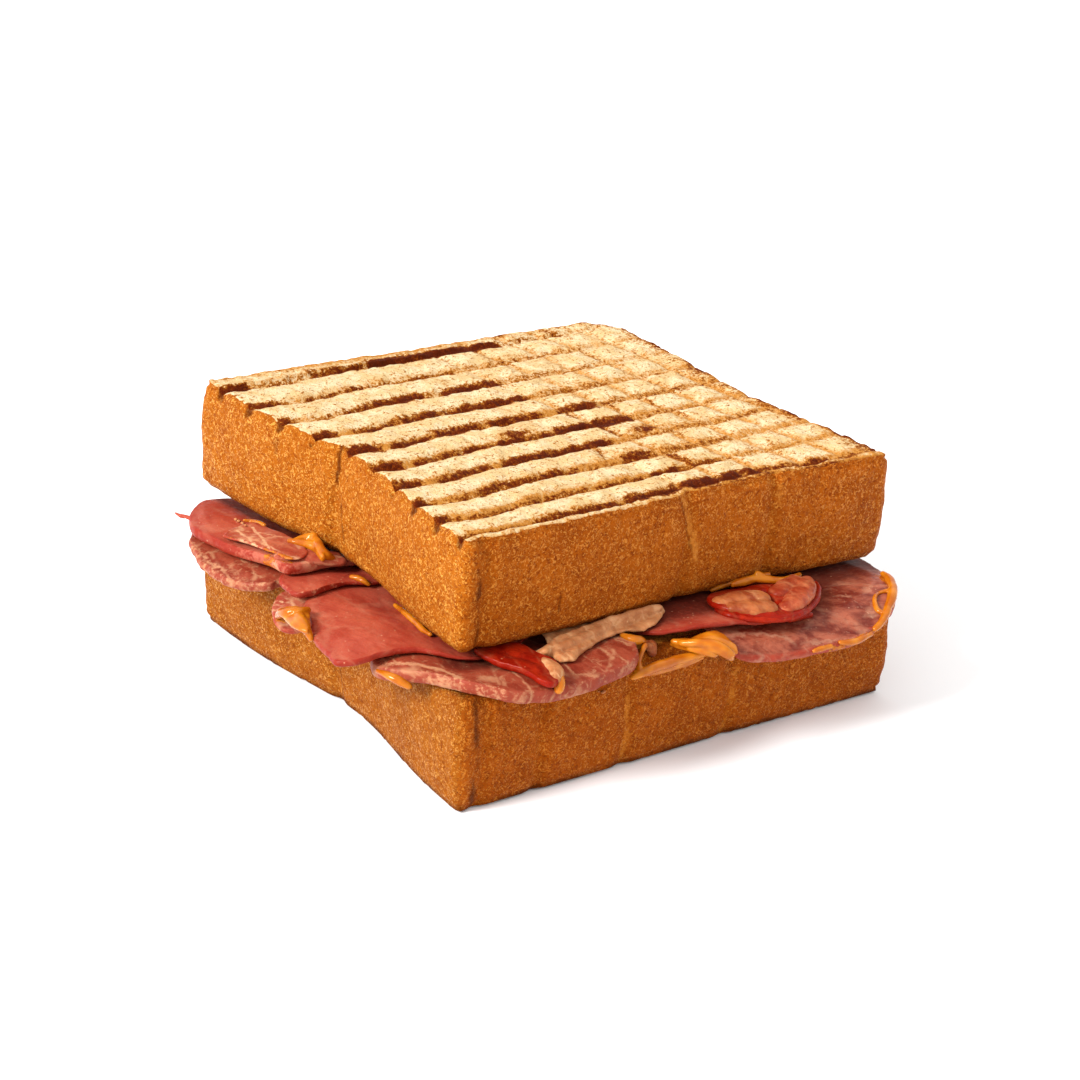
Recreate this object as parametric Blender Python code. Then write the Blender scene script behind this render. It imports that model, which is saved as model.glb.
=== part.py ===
"""Toasted cold cut sandwich: two thick slices of square bread with ham, bacon and sauce between.

Plan positions are millimetres from the lower slice's near left corner: X runs along its front
side, Y along its left side and Z is up.  The finished part has its origin at the middle of the
lower slice's underside, which is the face that it rests on.
"""
import math

import bmesh
import bpy
import numpy as np
from mathutils import Euler, Vector

MM = 0.001

# Bread
SLICE_WIDTH = 120.0
SLICE_DEPTH = 108.0
SLICE_THICK = 26.5
RIM_INSET = 0.6
RIM_DROP = 0.9
WALL_BULGE = 0.8
TOP_SHIFT = (2.7, 9.2)
TOP_LIFT = 31.1
TOP_TILT_DEG = (0.3, 1.4, 1.3)

# Grill relief: main grooves run along X, cross grooves lean back over the right half
GROOVES = 10
GROOVE_FIRST = 3.5
GROOVE_DEPTH = 1.7
GROOVE_SHARPNESS = 0.6
GROOVE_DRIFT = 2.0
GROOVE_DIP = 2.0
CROSS_FIRST = 74.0
CROSS_PITCH = 11.8
CROSS_LEAN = -0.13
CROSS_DEPTH = 0.9
CROSS_START = 48.0
CROSS_END = 117.0
NEAR_RIM_ROW = -0.22
FAR_RIM_ROW = 9.47
RIM_FADE = 6.0
PLAIN_COLUMNS = (0.0, 2.5, 6.0, 11.0, 17.0, 24.0, 31.0, 38.0, 44.0)

# Each slice's own form.  Its corner radii run from the near left corner round by the near right,
# and a crease is a groove down a wall.  The lower slice's bars are flat, so that it stands firmly.
LOWER_FORM = {
    "radii": (2.0, 2.0, 13.0, 3.0), "waist_left": 5.5, "waist_right": 3.5, "waist_front": 0.5,
    "crease_left": 1.0, "crease_front": 0.8, "creases": (4.0, 19.5, 43.5, 72.5),
    "back_left": 3.0, "pitch": 11.0, "pitch_growth": 0.0, "grill": 0.5, "plain_rim": 1.0,
    "flat": 0.17,
}
UPPER_FORM = {
    "radii": (1.5, 2.0, 13.0, 2.5), "waist_left": 5.5, "waist_right": 3.5, "waist_front": 2.0,
    "crease_left": 1.2, "crease_front": 1.0, "creases": (4.0, 61.0, 86.0),
    "back_left": 0.0, "pitch": 9.63, "pitch_growth": 0.133, "grill": 1.0, "plain_rim": 0.0,
    "flat": 0.0,
}

# Colour and roughness of each food
CRUST_DARK = ((0.62, 0.27, 0.07), 0.75)
CRUST_GOLDEN = ((0.80, 0.45, 0.16), 0.75)
HAM_MARBLED = ((0.72, 0.33, 0.28), 0.45)
HAM_SMOOTH = ((0.66, 0.16, 0.12), 0.4)
SAUCE = ((0.9, 0.45, 0.08), 0.25)
BACON_RED = ((0.55, 0.08, 0.03), 0.3)
MEAT_PALE = ((0.75, 0.42, 0.26), 0.5)

# Fillings
GAP = 0.35
CELL = 1.0
EMPTY = -100.0
SOFT_EDGE = 6.0
RINGS = (1.0, 0.88, 0.66, 0.36)
WIDE_RINGS = (1.0, 0.9, 0.8, 0.67, 0.4)
REACH = 26
HANG = 0.02
CURVE_STEPS = 12


def smooth(low, high, value):
    """Smooth step from 0 at low to 1 at high."""
    t = np.clip((value - low) / (high - low), 0.0, 1.0)
    return t * t * (3.0 - 2.0 * t)


def bell(value, centre, width):
    """Bell curve of height 1."""
    return math.exp(-((value - centre) / width) ** 2)


def world(x, y, z):
    """Metres about the finished part's origin, from plan millimetres."""
    return Vector(((x - SLICE_WIDTH / 2) * MM, (y - SLICE_DEPTH / 2) * MM, z * MM))


def material(name, finish):
    """Plain food material of one colour and roughness."""
    colour, roughness = finish
    made = bpy.data.materials.new(name)
    made.use_nodes = True
    shader = made.node_tree.nodes["Principled BSDF"]
    shader.inputs["Base Color"].default_value = (*colour, 1.0)
    shader.inputs["Roughness"].default_value = roughness
    shader.inputs["Metallic"].default_value = 0.0
    return made


def add_object(name, points, faces, finish, crease_deg=35.0):
    """Object from plan millimetres and index faces, with faces turned out and its own material."""
    mesh = bpy.data.meshes.new(name)
    mesh.from_pydata([world(*point) for point in points], [], faces)
    work = bmesh.new()
    work.from_mesh(mesh)
    bmesh.ops.triangulate(work, faces=work.faces[:])
    bmesh.ops.recalc_face_normals(work, faces=work.faces[:])
    work.to_mesh(mesh)
    work.free()
    mesh.materials.append(material(name, finish))
    mesh.shade_smooth()
    mesh.set_sharp_from_angle(angle=math.radians(crease_deg))
    made = bpy.data.objects.new(name, mesh)
    bpy.context.scene.collection.objects.link(made)
    return made


# Bread slices

def groove_y(turn, x, form):
    """Depth position of the groove (or part of a pitch) numbered turn, where it crosses x."""
    base = GROOVE_FIRST + form["pitch"] * turn + form["pitch_growth"] * turn * turn
    bow = GROOVE_DRIFT * x / SLICE_WIDTH - GROOVE_DIP * bell(x, 13.0, 11.0)
    inside = smooth(0.0, 12.0, base) * smooth(0.0, 12.0, SLICE_DEPTH - base)
    return base + bow * inside


def between_grooves(t):
    """0 on a groove line and 1 on the crest between two lines, t pitches along."""
    return abs(math.sin(math.pi * t)) ** GROOVE_SHARPNESS


def relief(turn, x, y, form):
    """Drop of the grilled face below its highest level."""
    main = 1.0 - between_grooves(turn) if -0.1 < turn < GROOVES - 0.9 else 0.1
    from_rim = min(x, SLICE_WIDTH - x, y, SLICE_DEPTH - y)
    strength = (1.0 - 0.35 * float(smooth(50.0, 95.0, x))) * form["grill"]
    strength *= 1.0 - form["plain_rim"] * (1.0 - float(smooth(0.0, RIM_FADE, from_rim)))
    cross = 1.0 - between_grooves((x - CROSS_LEAN * y - CROSS_FIRST) / CROSS_PITCH)
    crossed = float(smooth(CROSS_START, CROSS_START + 14.0, x))
    crossed *= float(smooth(0.0, RIM_FADE, from_rim)) * form["grill"]
    drop = max(GROOVE_DEPTH * strength * main, CROSS_DEPTH * crossed * cross)
    return max(0.0, drop - form["flat"])


def corner(radius, along):
    """How far a side stands back at the distance along from a rounded corner."""
    if along >= radius:
        return 0.0
    return radius - math.sqrt(radius * radius - (radius - along) ** 2)


def bread_plan(x, y, form):
    """Plan position of a grid point, pulled in by waists, rounded corners and creases."""
    radii = form["radii"]
    left = form["waist_left"] * bell(y, 50.0, 27.0) + form["crease_left"] * bell(y, 57.0, 2.2)
    left += max(corner(radii[0], y), corner(radii[3], SLICE_DEPTH - y))
    right = form["waist_right"] * bell(y, 48.0, 30.0)
    right += max(corner(radii[1], y), corner(radii[2], SLICE_DEPTH - y))
    front = form["waist_front"] * bell(x, 74.0, 26.0)
    front += sum(form["crease_front"] * bell(x, place, 1.8) for place in form["creases"])
    fade = SLICE_WIDTH * 0.35
    across = left * max(0.0, 1 - x / fade) - right * max(0.0, 1 - (SLICE_WIDTH - x) / fade)
    back = form["back_left"] * max(0.0, 1 - x / 60.0) * max(0.0, 1 - (SLICE_DEPTH - y) / 20.0)
    return x + across, y + front * max(0.0, 1 - y / 20.0) + back


def bread_stations():
    """Columns along X and rows, as pitches of the main grooves, along Y."""
    fine = list(np.arange(CROSS_START, CROSS_END, CROSS_PITCH / 4))
    rows = [NEAR_RIM_ROW] + [k / 4 for k in range(0, 4 * GROOVES - 2)] + [FAR_RIM_ROW]
    columns = list(PLAIN_COLUMNS) + fine + [SLICE_WIDTH - 2.0, SLICE_WIDTH]
    return columns, [None] + rows + [None]


def grid_point(column, row, rows, form):
    """Plan position and groove count of a grid point of the grilled face."""
    if row == 0:
        return bread_plan(column, 0.0, form), -1.0
    if row == len(rows) - 1:
        return bread_plan(column, SLICE_DEPTH, form), float(GROOVES)
    return bread_plan(column, float(groove_y(rows[row], column, form)), form), rows[row]


def ring_walk(columns, rows):
    """Grid indices of the rim, counter-clockwise from the near left corner."""
    walk = [(i, 0) for i in range(columns)]
    walk += [(columns - 1, j) for j in range(1, rows)]
    walk += [(i, rows - 1) for i in range(columns - 2, -1, -1)]
    walk += [(0, j) for j in range(rows - 2, 0, -1)]
    return walk


def inset(ring, distance):
    """Closed ring of plan points moved towards its inside."""
    moved = []
    for index, (x, y) in enumerate(ring):
        before, after = ring[index - 1], ring[(index + 1) % len(ring)]
        along = Vector((after[0] - before[0], after[1] - before[1])).normalized()
        moved.append((x - along.y * distance, y + along.x * distance))
    return moved


def add_bread(name, form, finish, upside_down=False):
    """Slice with its grilled face up, or down when it is turned over."""
    columns, rows = bread_stations()
    points, index = [], {}
    for j in range(len(rows)):
        for i, column in enumerate(columns):
            (x, y), turn = grid_point(column, j, rows, form)
            index[i, j] = len(points)
            points.append([x, y, SLICE_THICK - relief(turn, x, y, form)])
    faces = []
    for j in range(len(rows) - 1):
        for i in range(len(columns) - 1):
            quad = (index[i, j], index[i + 1, j], index[i + 1, j + 1], index[i, j + 1])
            faces.append(quad)
    walk = [index[place] for place in ring_walk(len(columns), len(rows))]
    outer = [(points[k][0], points[k][1]) for k in walk]
    for k, (x, y) in zip(walk, inset(outer, RIM_INSET)):
        points[k][:2] = (x, y)
    levels = ((SLICE_THICK - RIM_DROP - GROOVE_DEPTH * 0.6, 0.0), (SLICE_THICK * 0.5, -WALL_BULGE),
              (RIM_DROP, 0.0), (0.0, RIM_INSET))
    upper = walk
    for height, pull in levels:
        lower = [len(points) + k for k in range(len(walk))]
        points += [[x, y, height] for x, y in inset(outer, pull)]
        for k in range(len(walk)):
            following = (k + 1) % len(walk)
            faces.append((upper[k], lower[k], lower[following], upper[following]))
        upper = lower
    faces.append(tuple(reversed(upper)))
    if upside_down:
        points = [[x, y, SLICE_THICK - z] for x, y, z in points]
    return add_object(name, points, faces, finish, 50.0), inset(outer, RIM_INSET)


def place_top(upper_slice):
    """Sets the upper slice on the filling: shifted back, and lower on its right."""
    upper_slice.rotation_euler = Euler([math.radians(angle) for angle in TOP_TILT_DEG], "XYZ")
    upper_slice.location = Vector((TOP_SHIFT[0], TOP_SHIFT[1], TOP_LIFT)) * MM


def ceiling(x, y):
    """Height of the upper slice's underside."""
    roll, pitch = math.radians(TOP_TILT_DEG[0]), math.radians(TOP_TILT_DEG[1])
    across = x - SLICE_WIDTH / 2 - TOP_SHIFT[0]
    along = y - SLICE_DEPTH / 2 - TOP_SHIFT[1]
    return TOP_LIFT - math.tan(pitch) * across + math.tan(roll) * along


def cover(x, y):
    """Distance inside the upper slice's plan, negative outside it."""
    left = TOP_SHIFT[0] + 4.0
    front = TOP_SHIFT[1] + 1.0 + 3.0 * bell(x, 76.0, 24.0)
    return min(x - left, SLICE_WIDTH + 1.0 - x, y - front, SLICE_DEPTH + TOP_SHIFT[1] - y)


# Heights of what is already laid, on a square raster

RASTER_X = np.arange(-34.0, 158.0, CELL)
RASTER_Y = np.arange(-44.0, 154.0, CELL)
GRID_X, GRID_Y = np.meshgrid(RASTER_X, RASTER_Y, indexing="ij")


def inside(outline):
    """Raster cells inside a closed plan outline."""
    hit = np.zeros(GRID_X.shape, dtype=bool)
    for (ax, ay), (bx, by) in zip(outline, outline[1:] + outline[:1]):
        if ay == by:
            continue
        crosses = (ay > GRID_Y) != (by > GRID_Y)
        hit ^= crosses & (GRID_X < (bx - ax) * (GRID_Y - ay) / (by - ay) + ax)
    return hit


def patches(points, triangles):
    """Each triangle's raster window, the cells that it covers and their heights on it."""
    for triangle in triangles:
        a, b, c = (np.array(points[k]) for k in triangle)
        area = (b[0] - a[0]) * (c[1] - a[1]) - (c[0] - a[0]) * (b[1] - a[1])
        if abs(area) < 1e-9:
            continue
        low, high = np.minimum(np.minimum(a, b), c), np.maximum(np.maximum(a, b), c)
        i0, i1 = np.searchsorted(RASTER_X, (low[0], high[0] + CELL))
        j0, j1 = np.searchsorted(RASTER_Y, (low[1], high[1] + CELL))
        window = (slice(i0, i1), slice(j0, j1))
        gx, gy = GRID_X[window], GRID_Y[window]
        u = ((gx - a[0]) * (c[1] - a[1]) - (c[0] - a[0]) * (gy - a[1])) / area
        v = ((b[0] - a[0]) * (gy - a[1]) - (gx - a[0]) * (b[1] - a[1])) / area
        hit = (u >= -0.02) & (v >= -0.02) & (u + v <= 1.02)
        yield triangle, window, hit, a[2] + u * (b[2] - a[2]) + v * (c[2] - a[2])


def raster(points, triangles):
    """Height of a triangulated sheet over each raster cell, EMPTY outside it."""
    out = np.full(GRID_X.shape, EMPTY)
    for _, window, hit, height in patches(points, triangles):
        out[window] = np.where(hit, np.maximum(out[window], height), out[window])
    return out


def clearance_lifts(points, triangles, floor):
    """How far each point of a sheet must rise for its triangles to clear the floor."""
    lifts = [0.0] * len(points)
    for triangle, window, hit, height in patches(points, triangles):
        short = float(np.max(np.where(hit, floor[window] - height, 0.0), initial=0.0))
        for k in triangle:
            lifts[k] = max(lifts[k], short)
    return lifts


def spread(heights, steps):
    """Each cell takes the highest value within a few cells."""
    out = heights
    for axis in (0, 1):
        base = out.copy()
        for step in range(1, steps + 1):
            out = np.maximum(out, np.maximum(np.roll(base, step, axis), np.roll(base, -step, axis)))
    return out


def drape(heights, sag):
    """Sheet over what is below it: it bends down from each support as a parabola."""
    out = heights
    for axis in (0, 1):
        base = out.copy()
        for step in range(1, REACH + 1):
            drop = sag * (step * CELL) ** 2
            near = np.maximum(np.roll(base, step, axis), np.roll(base, -step, axis))
            out = np.maximum(out, near - drop)
    return out


def look_up(heights, x, y):
    """Height at a plan point, between the raster's cells."""
    u, v = (x - RASTER_X[0]) / CELL, (y - RASTER_Y[0]) / CELL
    i, j = int(u), int(v)
    fu, fv = u - i, v - j
    low = heights[i, j] * (1 - fu) + heights[i + 1, j] * fu
    high = heights[i, j + 1] * (1 - fu) + heights[i + 1, j + 1] * fu
    return low * (1 - fv) + high * fv


def closed_curve(corners, count):
    """Smooth closed curve through a few points, as evenly spaced points."""
    dense = []
    total = len(corners)
    for k in range(total):
        p0, p1, p2, p3 = (Vector(corners[(k + n - 1) % total]) for n in range(4))
        for step in range(CURVE_STEPS):
            t = step / CURVE_STEPS
            bend = 2 * p0 - 5 * p1 + 4 * p2 - p3
            twist = 3 * p1 - p0 - 3 * p2 + p3
            dense.append(0.5 * (2 * p1 + (p2 - p0) * t + bend * t * t + twist * t ** 3))
    lengths = [0.0]
    for a, b in zip(dense, dense[1:] + dense[:1]):
        lengths.append(lengths[-1] + (b - a).length)
    ring, at = [], 0
    for k in range(count):
        goal = lengths[-1] * k / count
        while lengths[at + 1] < goal:
            at += 1
        share = (goal - lengths[at]) / (lengths[at + 1] - lengths[at])
        ring.append(dense[at].lerp(dense[(at + 1) % len(dense)], share))
    return [(point.x, point.y) for point in ring]


def sheet_plan(outline, heart, rings):
    """Rings of plan points towards the heart of a slice, and the triangles between them."""
    plan = [(heart[0] + (x - heart[0]) * f, heart[1] + (y - heart[1]) * f)
            for f in rings for x, y in outline]
    plan.append(heart)
    count, triangles = len(outline), []
    for ring in range(len(rings) - 1):
        for k in range(count):
            a, b = ring * count + k, ring * count + (k + 1) % count
            triangles += [(a, b, b + count), (a, b + count, a + count)]
    last = (len(rings) - 1) * count
    triangles += [(last + k, last + (k + 1) % count, len(plan) - 1) for k in range(count)]
    return plan, triangles


def lay_slice(pile, name, corners, finish, thick, thin, sag=0.012, hung=False, domed=0.0,
              count=30, rings=RINGS):
    """Lays a thin slice on the pile: thick where it shows and thin where it is pressed.

    A hung slice clings to the upper slice's underside, and a domed one is thinner at its edge.
    Returns the heights of the pile with the slice on it.
    """
    outline = closed_curve(corners, count)
    heart = tuple(np.mean(np.array(outline), axis=0))
    plan, triangles = sheet_plan(outline, heart, rings)
    floor = spread(pile, 1) + GAP
    depth = [thick + (thin - thick) * float(smooth(-SOFT_EDGE, 0.5, cover(x, y))) for x, y in plan]
    if domed:
        for k in range(len(plan)):
            rise = 1.0 - rings[k // count] ** 2 if k < len(plan) - 1 else 1.0
            depth[k] *= (1.0 - domed) + domed * (0.4 + rise)
    if hung:
        low = []
        for (x, y), t in zip(plan, depth):
            proud = max(0.0, -cover(x, y))
            held = ceiling(x, y) - GAP - t - HANG * proud * proud
            low.append(max(look_up(floor, x, y), held))
    else:
        under = drape(np.where(spread(inside(outline).astype(float), 2) > 0, floor, EMPTY), sag)
        low = [look_up(under, x, y) for x, y in plan]
    sheet = [(x, y, z) for (x, y), z in zip(plan, low)]
    lifts = clearance_lifts(sheet, triangles, floor)
    size = len(plan)
    points = [(x, y, z + lift) for (x, y, z), lift in zip(sheet, lifts)]
    points += [(x, y, z + t) for (x, y, z), t in zip(points[:size], depth)]
    faces = [tuple(reversed(t)) for t in triangles]
    faces += [tuple(k + size for k in t) for t in triangles]
    for k in range(count):
        following = (k + 1) % count
        faces.append((k, following, following + size, k + size))
    add_object(name, points, faces, finish)
    return np.maximum(pile, raster(points[size:], triangles))


def add_tube(name, route, radius, finish, sides=8):
    """Round string of sauce along a few points, thin at its ends."""
    points, faces = [], []
    count = len(route)
    for k, centre in enumerate(route):
        before, after = Vector(route[max(k - 1, 0)]), Vector(route[min(k + 1, count - 1)])
        along = (after - before).normalized()
        side = along.cross(Vector((0, 0, 1))).normalized()
        up = side.cross(along)
        girth = radius * (0.45 if k in (0, count - 1) else 1.0)
        for n in range(sides):
            angle = 2 * math.pi * n / sides
            points.append(Vector(centre) + (side * math.cos(angle) + up * math.sin(angle)) * girth)
    for k in range(count - 1):
        for n in range(sides):
            a, b = k * sides + n, k * sides + (n + 1) % sides
            faces.append((a, b, b + sides, a + sides))
    faces.append(tuple(range(sides)))
    faces.append(tuple(reversed(range((count - 1) * sides, count * sides))))
    return add_object(name, points, faces, finish)


def add_smear(name, centre, half, finish, lean_deg=0.0, rings=5, sides=10):
    """Flattened drop of sauce that clings to a wall."""
    points, faces = [], []
    lean = math.radians(lean_deg)
    for ring in range(1, rings):
        tip = math.pi * ring / rings
        for n in range(sides):
            turn = 2 * math.pi * n / sides
            a, b = math.sin(tip) * math.cos(turn), math.sin(tip) * math.sin(turn)
            x, y, z = math.cos(tip) * half[0], a * half[1], b * half[2]
            points.append((centre[0] + x * math.cos(lean) - y * math.sin(lean),
                           centre[1] + x * math.sin(lean) + y * math.cos(lean), centre[2] + z))
    for ring in range(rings - 2):
        for n in range(sides):
            a, b = ring * sides + n, ring * sides + (n + 1) % sides
            faces.append((a, b, b + sides, a + sides))
    faces.append(tuple(reversed(range(sides))))
    faces.append(tuple(range((rings - 2) * sides, (rings - 1) * sides)))
    return add_object(name, points, faces, finish)


# The sandwich, from the bottom up

def lay_hams_below(pile):
    """Ham on the lower slice, with the tongue of sauce that lies among it."""
    pile = lay_slice(pile, "ham_low_left", [
        (-5, 64), (-9, 62), (-11.3, 58.5), (-12.3, 53.5), (-11.8, 50), (-9, 48), (-3, 48), (6, 49),
        (11, 54), (4, 60)], HAM_MARBLED, 1.1, 0.5, count=20)
    pile = lay_slice(pile, "ham_back_left", [
        (-8.5, 101), (-11.3, 96), (-13, 90), (-13.3, 84), (-12.8, 78), (-11.2, 72.6), (-8, 68.6),
        (-4, 67), (3, 69.5), (12, 73), (28, 75), (40, 81), (44, 92), (34, 105), (12, 109.5),
        (-2, 106)], HAM_MARBLED, 2.0, 0.9, sag=0.014)
    pile = lay_slice(pile, "ham_near_corner", [
        (-7.6, 22), (-6, 15.8), (-2.6, 11.5), (-0.3, 7), (2.4, 2.8), (8, -4), (14, -6.6),
        (21, -7.5), (28, -7.3), (34.5, -6.3), (40.3, -5), (44.5, -1), (46, 7), (40, 22), (26, 31),
        (8, 32), (-4, 28)], HAM_MARBLED, 2.8, 1.6, sag=0.03, count=36)
    pile = lay_slice(pile, "ham_right", [
        (66.8, -8.2), (73, -10.2), (80.2, -11.2), (88, -11.9), (94.6, -12.3), (102, -11.4),
        (107.7, -9.8), (111.9, -8), (116.5, -4.6), (119.2, -0.5), (121, 4), (122.2, 9), (123, 20),
        (121.5, 45), (121.5, 72), (118, 98), (106, 111.5), (92, 112.5), (76, 104), (66, 80),
        (66, 50), (65.5, 20), (66, 4), (66, -4)],
        HAM_MARBLED, 1.5, 1.3, sag=0.035, count=44, rings=WIDE_RINGS)
    pile = lay_slice(pile, "ham_near_left", [
        (-6, 53.5), (-9.2, 45.5), (-12.6, 38.8), (-14.5, 31.5), (-15.6, 25), (-14.8, 22.3),
        (-10.3, 20.9), (-5.2, 20), (-1.5, 19), (2.2, 16), (5.8, 12), (13, 10), (26, 14), (37, 28),
        (37, 44), (24, 56), (6, 57)], HAM_SMOOTH, 1.4, 0.8, sag=0.014, count=36)
    pile = lay_slice(pile, "ham_middle_left", [
        (-6.3, 64.5), (-7.8, 58.5), (-7.3, 53.8), (-4, 53.5), (1, 54.3), (6, 54.8), (12, 53.5),
        (24, 54), (29, 59), (22, 64), (8, 66), (-3, 67)], HAM_SMOOTH, 1.4, 0.7, count=26)
    return lay_slice(pile, "sauce_tongue", [
        (54.2, 0.3), (58, -1.2), (62, -2), (65, -3.2), (64.9, -6), (65.5, -10.2), (62, -9),
        (58, -5.5)], SAUCE, 1.3, 1.3, sag=0.03, domed=0.6, count=16)


def lay_hams_above(pile):
    """Ham under the upper slice."""
    pile = lay_slice(pile, "ham_through", [
        (50.5, 5), (52.2, 2.8), (55, 0.4), (61.8, -1.8), (68.8, -3.1), (76, -4.5), (84, -3),
        (90, 6), (93, 30), (95, 60), (92, 90), (84, 110), (72, 115), (60, 112), (53, 90),
        (50, 60), (49, 30), (49.5, 14)], HAM_SMOOTH, 1.0, 0.7, count=40)
    pile = lay_slice(pile, "ham_upper_left", [
        (3.5, 109.5), (-0.5, 109), (-4, 106.8), (-7, 104), (-9.5, 100), (-10.5, 95), (-9, 86),
        (-7.3, 79), (-6.2, 72.5), (-5.2, 67), (-4.6, 62.5), (-1, 61.8), (6, 62.4), (28, 61),
        (48, 68), (56, 86), (50, 104), (30, 112)], HAM_SMOOTH, 2.5, 1.3, count=40)
    return lay_slice(pile, "ham_thin_left", [
        (-8.3, 86.5), (-3.5, 89.3), (1.5, 90), (3.2, 86), (3.8, 78), (3.4, 72), (2.6, 67),
        (0.6, 64.2), (-2, 63.4), (-4.2, 64.0), (-4.6, 68), (-6, 75), (-7.4, 82)],
        HAM_MARBLED, 0.6, 0.6, count=24)


def lay_bacon(pile):
    """Bacon and pale meat that look out at the front."""
    pile = lay_slice(pile, "bacon_tip", [
        (10.5, 11.5), (18.5, 11.5), (20.5, 9.5), (21.6, 4.4), (22.9, 0.2), (22.4, -3.2),
        (20, -6.4), (17.4, -8.4), (15.4, -7), (14.6, -3.8), (13.3, 0.8), (11.2, 5)],
        BACON_RED, 1.4, 1.0, sag=0.02, count=20)
    pile = lay_slice(pile, "bacon_curl", [
        (69.5, 1.4), (73, -3.6), (78.6, -7.2), (84.3, -7.3), (90.5, -3.6), (96.8, 2), (101, 7.5),
        (98, 10), (90, 10.6), (82, 10.8), (74, 10.4), (69.5, 7)],
        BACON_RED, 1.8, 0.45, sag=0.01, domed=0.5, count=28)
    return lay_slice(pile, "meat_strip", [
        (24.6, 3), (24.2, -0.3), (27.5, -1.2), (31.6, 1.3), (37.4, 3.6), (44, 5.1), (51.6, 3.9),
        (57.6, 7.4), (60.2, 11.4), (55, 17), (48, 22), (36, 22), (30, 17), (27, 9)],
        MEAT_PALE, 0.7, 0.4, hung=True, count=28)


def add_sauce(pile):
    """Drips, string and smears of sauce, and a stray shred of ham."""
    lay_slice(pile, "sauce_drip_left", [
        (-13.6, 52), (-10, 50.6), (-8.6, 47.4), (-10.6, 43.6), (-13.6, 38.5), (-15.2, 38.5),
        (-15.4, 43.5), (-14.4, 47.6)], SAUCE, 1.0, 1.0, sag=0.014, domed=0.6, count=16)
    add_tube("sauce_string", [(42.0, -2.9, 24.7), (45, -2.6, 24.0), (49, -2.4, 23.5),
                              (53, -2.4, 23.6), (57, -2.7, 23.8), (61, -3.4, 24.3)], 1.1, SAUCE)
    add_smear("sauce_flap_left", (4.6, 66.0, 34.4), (6.5, 0.9, 1.4), SAUCE, lean_deg=72.0)
    add_smear("sauce_flap_right", (84.0, 9.4, 32.7), (7.0, 0.8, 1.0), SAUCE, lean_deg=2.0)
    add_tube("ham_shred", [(-8.5, 104.2, 30.2), (-9.0, 105.3, 30.3), (-9.7, 106.9, 30.7)], 0.5,
             HAM_SMOOTH, sides=6)


def main():
    """Lower slice, fillings from the lowest up, then the upper slice."""
    for old in list(bpy.data.objects):
        bpy.data.objects.remove(old, do_unlink=True)
    _, shelf = add_bread("bread_lower", LOWER_FORM, CRUST_DARK, upside_down=True)
    pile = np.where(inside(shelf), SLICE_THICK, EMPTY)
    pile = lay_hams_below(pile)
    pile = lay_hams_above(pile)
    pile = lay_bacon(pile)
    add_sauce(pile)
    upper_slice, _ = add_bread("bread_upper", UPPER_FORM, CRUST_GOLDEN)
    place_top(upper_slice)


main()
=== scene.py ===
"""Looks of the toasted cold cut sandwich: bread, ham, bacon and sauce around the fixed frame.

Plan positions are millimetres from the lower slice's near left corner, as in the model: X runs
along the front side, Y along the left side and Z is up.
"""
import math
from itertools import product

import bmesh
import bpy
import numpy as np
from mathutils import Euler, Matrix, Vector
from mathutils.bvhtree import BVHTree


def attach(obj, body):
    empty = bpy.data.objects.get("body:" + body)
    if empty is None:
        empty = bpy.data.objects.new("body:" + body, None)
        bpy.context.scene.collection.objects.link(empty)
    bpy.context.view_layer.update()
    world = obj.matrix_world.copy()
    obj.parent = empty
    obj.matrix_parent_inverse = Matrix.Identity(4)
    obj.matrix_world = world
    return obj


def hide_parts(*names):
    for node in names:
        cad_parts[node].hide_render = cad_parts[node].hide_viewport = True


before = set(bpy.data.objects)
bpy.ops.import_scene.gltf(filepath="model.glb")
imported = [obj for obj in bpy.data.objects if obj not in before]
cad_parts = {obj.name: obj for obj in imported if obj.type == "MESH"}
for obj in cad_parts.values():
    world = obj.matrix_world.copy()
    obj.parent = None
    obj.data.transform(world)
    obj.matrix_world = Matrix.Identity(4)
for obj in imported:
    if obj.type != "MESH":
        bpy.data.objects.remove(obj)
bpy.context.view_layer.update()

MM = 0.001

# Camera and light
CAMERA_PLACE = (-269.07, -385.50, 265.48)
CAMERA_ANGLES_DEG = (66.742, -3.287, -35.195)
CAMERA_LENS = 85.402
SENSOR = 36.0
CLIP_START = 0.01
SUN_RISE_DEG = 34.0
SUN_TURN_DEG = 5.0
SUN_SPREAD_DEG = 20.0
SUN_STRENGTH = 4.7
SUN_PLACE = (-600.0, 100.0, 500.0)
SKY_STRENGTH = 1.22
FLOOR_HALF = 6.0
FLOOR_HEIGHT = -0.0002
FLOOR_WHITE = (0.93, 0.93, 0.93)

# Bread
SLICE_WIDTH = 120.0
SLICE_DEPTH = 108.0
SLICE_THICK = 26.5
RIM_INSET = 0.6
WALL_BULGE = 0.8
TOP_SHIFT = (2.7, 9.2)
TOP_LIFT = 31.1
TOP_TILT_DEG = (0.3, 1.4, 1.3)
FACE_STEP = 0.54
WALL_LEVELS = 36
PLAIN_DEPTHS = (0.0, 0.5, 1.0, 1.6, 2.4, 3.4, 4.6, 6.0, 8.0, 10.5, 14.0, 19.0, 26.0, 36.0, 48.0)

# Grill relief
GROOVES = 10
GROOVE_FIRST = 3.5
GROOVE_DEPTH = 1.7
GROOVE_DRIFT = 2.0
GROOVE_DIP = 2.0
CROSS_FIRST = 74.0
CROSS_PITCH = 11.8
CROSS_LEAN = -0.13
CROSS_DEPTH = 0.9
CROSS_START = 48.0
CREST_POWER = 0.6

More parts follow.
